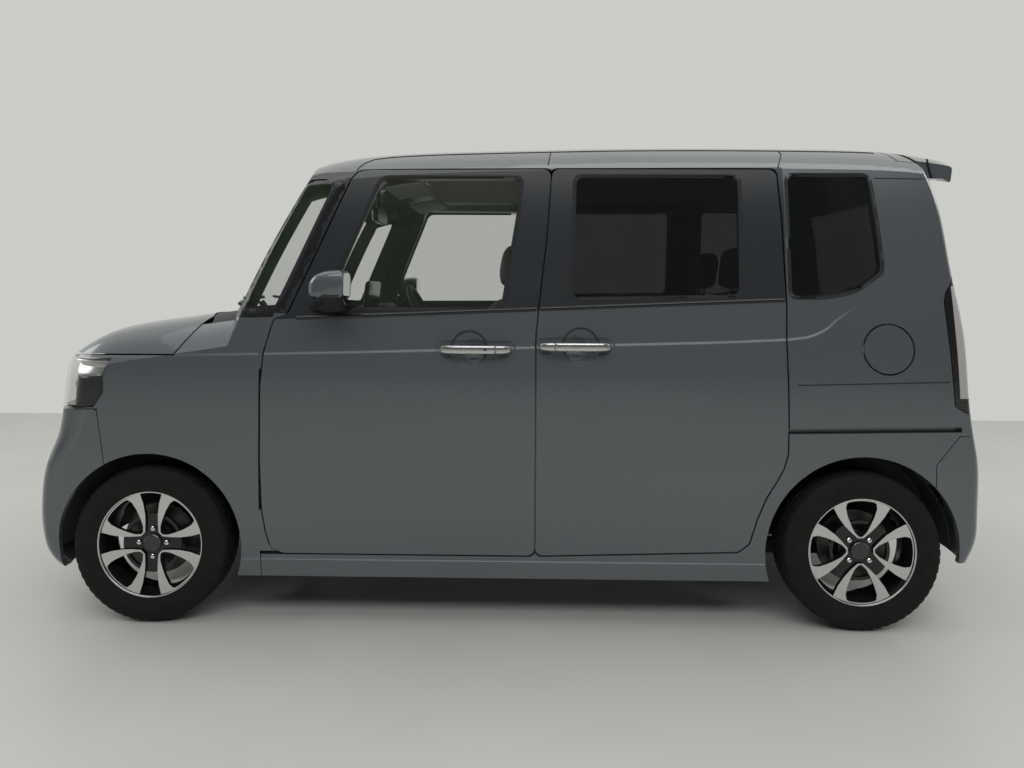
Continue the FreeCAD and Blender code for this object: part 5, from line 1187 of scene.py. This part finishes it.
for side, sign in SIDES:
    ends = tube(f"spoiler_joint_{side}", [Vector((1.5585, sign * 0.5560, 1.6860)),
                                          Vector((1.5770, sign * 0.5560, 1.6150))], 0.0035, "seal_rubber")
    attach(ends, "tailgate")
print("spoiler made")

# %% [markdown]
# Inside: a pale roof lining, door trims, a hood and screen on the dashboard, a mirror, sun visors
# and the gear lever. Springs wind about the rear spring seats.

# %% Cabin trim and springs
ROOF_FROM_Z, ROOF_DROP = 1.50, 0.004
CORNERS = {"door_trim": [(-0.790, 0.330), (0.105, 0.330), (0.105, 1.085), (-0.720, 1.065)],
           "door_inset": [(-0.620, 0.760), (0.060, 0.760), (0.060, 0.960), (-0.560, 0.960)],
           "slide_trim": [(0.190, 0.330), (0.900, 0.330), (0.940, 1.100), (0.190, 1.090)]}


def ceiling(x, y):
    """The place on the roof's inner face at (x, y), let down a little."""
    spot = tree_of("roof_panel").ray_cast(Vector((x, y, ROOF_FROM_Z)), Vector((0, 0, 1)))[0]
    return None if spot is None else spot - Vector((0, 0, ROOF_DROP))


lining = patch("roof_lining", ceiling, rounded([(-0.40, -0.50), (1.30, -0.50), (1.30, 0.50), (-0.40, 0.50)],
                                               0.06), [], "lining_pale", 0.06, (0, 0, -1))
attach(lining, "body")
for side, sign in SIDES:
    for label, panel, proud, finish, body in (
            ("door_trim", f"front_door_{side}", 0.003, "dash_plastic", f"door_{side}"),
            ("door_inset", f"front_door_{side}", 0.005, "seat_inset", f"door_{side}"),
            ("slide_trim", "sliding_doors", 0.003, "dash_plastic", "body")):
        trim = patch(f"{label}_{side}", lambda x, z: inner_point(panel, sign, x, z, proud),
                     rounded(CORNERS[label], 0.04), [], finish, 0.05, (0, -sign, 0))
        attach(trim, body)

hood_line = [(-0.800, 1.076), (-0.640, 1.078), (-0.585, 1.100), (-0.600, 1.124), (-0.700, 1.120)]
hood = loft("gauge_hood", [[(x, y, 1.078 + (z - 1.078) * scale) for x, z in rounded(hood_line, 0.015)]
                           for y, scale in ((0.165, 0.4), (0.180, 0.85), (0.215, 1.0), (0.445, 1.0),
                                            (0.480, 0.85), (0.495, 0.4))], "dash_plastic")
screen_loops = [[(x + 0.10 * (z + 0.070), a, 1.150 + z) for a, z in oval(32, 0.128 * w, 0.078 * w, 9)]
                for x, w in ((-0.640, 0.97), (-0.636, 1.0), (-0.624, 1.0), (-0.620, 0.985))]
screen = loft("centre_screen", screen_loops, "gloss_black")
glass_mirror = loft("inner_mirror", [[(x, a, 1.520 + b) for a, b in oval(32, 0.118 * w, 0.033 * w, 4)]
                                     for x, w in ((-0.605, 0.80), (-0.595, 0.98), (-0.578, 1.0),
                                                  (-0.574, 0.96))], "frame_black")
STEM_X = -0.595
stem = tube("inner_mirror_stem", [Vector((STEM_X, 0, 1.530)),
                                  ceiling(STEM_X, 0) + Vector((0, 0, ROOF_DROP / 2))], 0.009,
            "frame_black")
visors = [loft(f"visor_{side}", [[(x, sign * 0.300 + a, z + b) for a, b in oval(24, 0.185, 0.008, 4)]
                                 for x, z in ((-0.470, 1.585), (-0.440, 1.592), (-0.360, 1.604),
                                              (-0.330, 1.608))], "lining_pale") for side, sign in SIDES]
lever = tube("gear_lever", [Vector((-0.560, 0.060, 0.905)), Vector((-0.520, 0.060, 0.955))], 0.009,
             "satin_chrome")
knob = loft("gear_knob", [[(-0.520 + step * 0.010 + a, 0.060 + b, 0.950 + step * 0.014)
                           for a, b in oval(20, r, r)] for step, r in enumerate((0.014, 0.021, 0.023, 0.018,
                                                                                0.008))], "gloss_black")
ride_all((hood, screen, glass_mirror, stem, lever, knob, *visors), "body")

SPRING_X, SPRING_Y, COIL_RADIUS, COIL_TURNS, COIL_STEPS, COIL_SEAT = 1.105, 0.430, 0.036, 6, 160, 0.012
low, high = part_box("rear_springs")
height = high[2] - low[2] - COIL_SEAT * 2
for side, sign in SIDES:
    coils = [Vector((SPRING_X + COIL_RADIUS * math.cos(turn),
                     sign * SPRING_Y + COIL_RADIUS * math.sin(turn),
                     low[2] + COIL_SEAT + height * step / COIL_STEPS))
             for step in range(COIL_STEPS + 1)
             for turn in (math.tau * COIL_TURNS * step / COIL_STEPS,)]
    coil = tube(f"rear_spring_{side}", coils, 0.0065, "chassis_black")
    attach(coil, "body")
    if side == "left":
        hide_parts("rear_springs")
print("cabin trim made")

# %% [markdown]
# The seats are sewn cushions. Each starts as a slightly lean lofted form with raised sides, is
# blown up as cloth, and then takes a cap on how far it may swell. The middle panel is a lighter
# cloth, framed by piping that follows the finished surface.

# %% Seats
SEAT_REACH, SEAT_LOW, SEAT_HEIGHT = 0.445, 0.340, 0.845
CLOTH_FRAMES, SEAT_VOXEL = 20, 0.013
CUSHION = [(-0.562, 0.071), (-0.589, 0.243), (-0.483, 0.284), (0.562, 0.243), (0.589, 0.107),
           (0.562, 0.071)]
BACK = [(0.371, 0.225), (0.652, 0.201), (1.000, 0.947), (0.944, 1.000), (0.787, 1.000),
        (0.730, 0.947)]
REST = [(0.775, 1.012), (0.989, 1.012), (1.045, 1.195), (0.989, 1.225), (0.865, 1.225),
        (0.813, 1.195)]


def lean_form(name, shares, base_x, middle_y, width, bolster, away):
    """A lofted pad across the seat, thinner at its sides' edges, with a raised border."""
    outline = rounded([(base_x + a * SEAT_REACH, SEAT_LOW + b * SEAT_HEIGHT) for a, b in shares], 0.03, 4)
    core = Vector((sum(x for x, _ in outline) / len(outline), sum(z for _, z in outline) / len(outline)))
    loops = []
    for step in range(13):
        share = step / 6 - 1
        shrink = 0.93 - 0.16 * max(0.0, abs(share) - 0.88) / 0.12
        lift = bolster * (smooth_bump(abs(share)) - 0.35)
        loops.append([(core.x + (x - core.x) * shrink + away[0] * lift,
                       middle_y + share * (width / 2 - 0.012),
                       core.y + (z - core.y) * shrink + away[1] * lift) for x, z in outline])
    return loft(name, loops, "seat_cloth", 180)


def smooth_bump(share):
    """0 in the middle of a seat and 1 over its raised border."""
    value = min(1.0, max(0.0, (share - 0.48) / 0.30))
    return value * value * (3 - 2 * value)


def applied(item):
    """Give an item the mesh that its modifiers make, and drop them."""
    bpy.context.view_layer.update()
    mesh = bpy.data.meshes.new_from_object(item.evaluated_get(bpy.context.evaluated_depsgraph_get()))
    item.modifiers.clear()
    item.data = mesh
    return mesh


def plump(item, voxel, cap):
    """Blow a lean form up as cloth, with a cap on how far each point moves."""
    remesh = item.modifiers.new("voxels", "REMESH")
    remesh.mode, remesh.voxel_size = "VOXEL", voxel
    before = [vertex.co.copy() for vertex in applied(item).vertices]
    cloth_step = item.modifiers.new("cloth", "CLOTH")
    settings = cloth_step.settings
    settings.quality, settings.mass = 4, 0.3
    settings.use_pressure, settings.uniform_pressure_force = True, 4.0
    settings.effector_weights.gravity = 0.0
    cloth_step.point_cache.frame_start, cloth_step.point_cache.frame_end = 1, CLOTH_FRAMES
    for number in range(1, CLOTH_FRAMES + 1):
        bpy.context.scene.frame_set(number)
    for vertex, start in zip(applied(item).vertices, before):
        move = vertex.co - start
        if move.length > cap:
            vertex.co = start + move.normalized() * cap
    bpy.context.scene.frame_set(1)
    thicken = item.modifiers.new("smooth", "SUBSURF")
    thicken.levels = thicken.render_levels = 1
    final = applied(item)
    final.polygons.foreach_set("use_smooth", [True] * len(final.polygons))
    return item


def seat_pad(name, shares, base_x, middle_y, width, bolster, away, panel, cap=0.022):
    """One finished pad with its panel and piping, riding on the body."""
    item = plump(lean_form(name, shares, base_x, middle_y, width, bolster, away), SEAT_VOXEL, cap)
    mesh = item.data
    mesh.materials.clear()
    mesh.materials.append(made["seat_cloth"])
    mesh.materials.append(made["seat_inset"])
    facing = Vector((away[0], 0, away[1]))
    for polygon in mesh.polygons:
        inner = panel > 0 and abs(polygon.center.y - middle_y) < panel and polygon.normal.dot(facing) > 0.45
        polygon.material_index = 1 if inner else 0
    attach(item, "body")
    if panel > 0:
        tree = BVHTree.FromPolygons([vertex.co for vertex in mesh.vertices],
                                    [polygon.vertices for polygon in mesh.polygons])
        low = Vector([min(vertex.co[axis] for vertex in mesh.vertices) for axis in range(3)])
        high = Vector([max(vertex.co[axis] for vertex in mesh.vertices) for axis in range(3)])
        for edge, sign in SIDES:
            spots, line_y = [], middle_y + sign * panel
            for step in range(41):
                share = 0.06 + 0.86 * step / 40
                along = low.lerp(high, share)
                if away[1] > 0.5:
                    start, aim = Vector((along.x, line_y, high.z + 0.1)), Vector((0, 0, -1))
                else:
                    start, aim = Vector((low.x - 0.2, line_y, along.z)), Vector((1, 0, 0))
                spot = tree.ray_cast(start, aim)[0]
                if spot is not None:
                    spots.append(spot - aim * 0.0005)
            cord = tube(f"{name}_piping_{edge}", spots, 0.0032, "black_trim")
            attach(cord, "body")
    return item


seat_rows = [("front_left", -0.380, -0.300, 0.490, 0.020, 0.135),
             ("front_right", -0.380, 0.300, 0.490, 0.020, 0.135),
             ("rear_left", 0.530, -0.295, 0.585, 0.012, 0.190),
             ("rear_right", 0.530, 0.295, 0.585, 0.012, 0.190)]
for label, base_x, middle_y, width, bolster, panel in seat_rows:
    seat_pad(f"seat_cushion_{label}", CUSHION, base_x, middle_y, width, bolster, (0.0, 1.0),
                           panel)
    seat_pad(f"seat_back_{label}", BACK, base_x, middle_y, width, bolster, (-0.93, 0.37), panel)
    seat_pad(f"head_rest_{label}", REST, base_x, middle_y, 0.260, 0.004, (-0.96, 0.28), 0, 0.012)
    for post, sign in (("a", -1), ("b", 1)):
        rod = tube(f"head_post_{label}_{post}", [
            Vector((base_x + 0.870 * SEAT_REACH, middle_y + sign * 0.065, SEAT_LOW + 0.940 * SEAT_HEIGHT)),
            Vector((base_x + 0.900 * SEAT_REACH, middle_y + sign * 0.065, SEAT_LOW + 1.080 * SEAT_HEIGHT))],
            0.006, "satin_chrome", sides=12)
        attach(rod, "body")
    shoe = loft(f"seat_base_{label}", [
        [(base_x + a, middle_y + b, z) for a, b in oval(28, 0.215 * w, (width / 2 - 0.035) * w, 8)]
        for z, w in ((0.333, 0.96), (0.340, 1.0), (0.385, 1.0), (0.412, 0.94))], "black_trim")
    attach(shoe, "body")
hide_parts("front_seats")
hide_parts("rear_seats")
print("seats made")

# %% [markdown]
# The last step prints the box around the finished model.

# %% Size and finish
low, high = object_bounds()
print("visual box", [round(value, 3) for value in (*low, *high)])
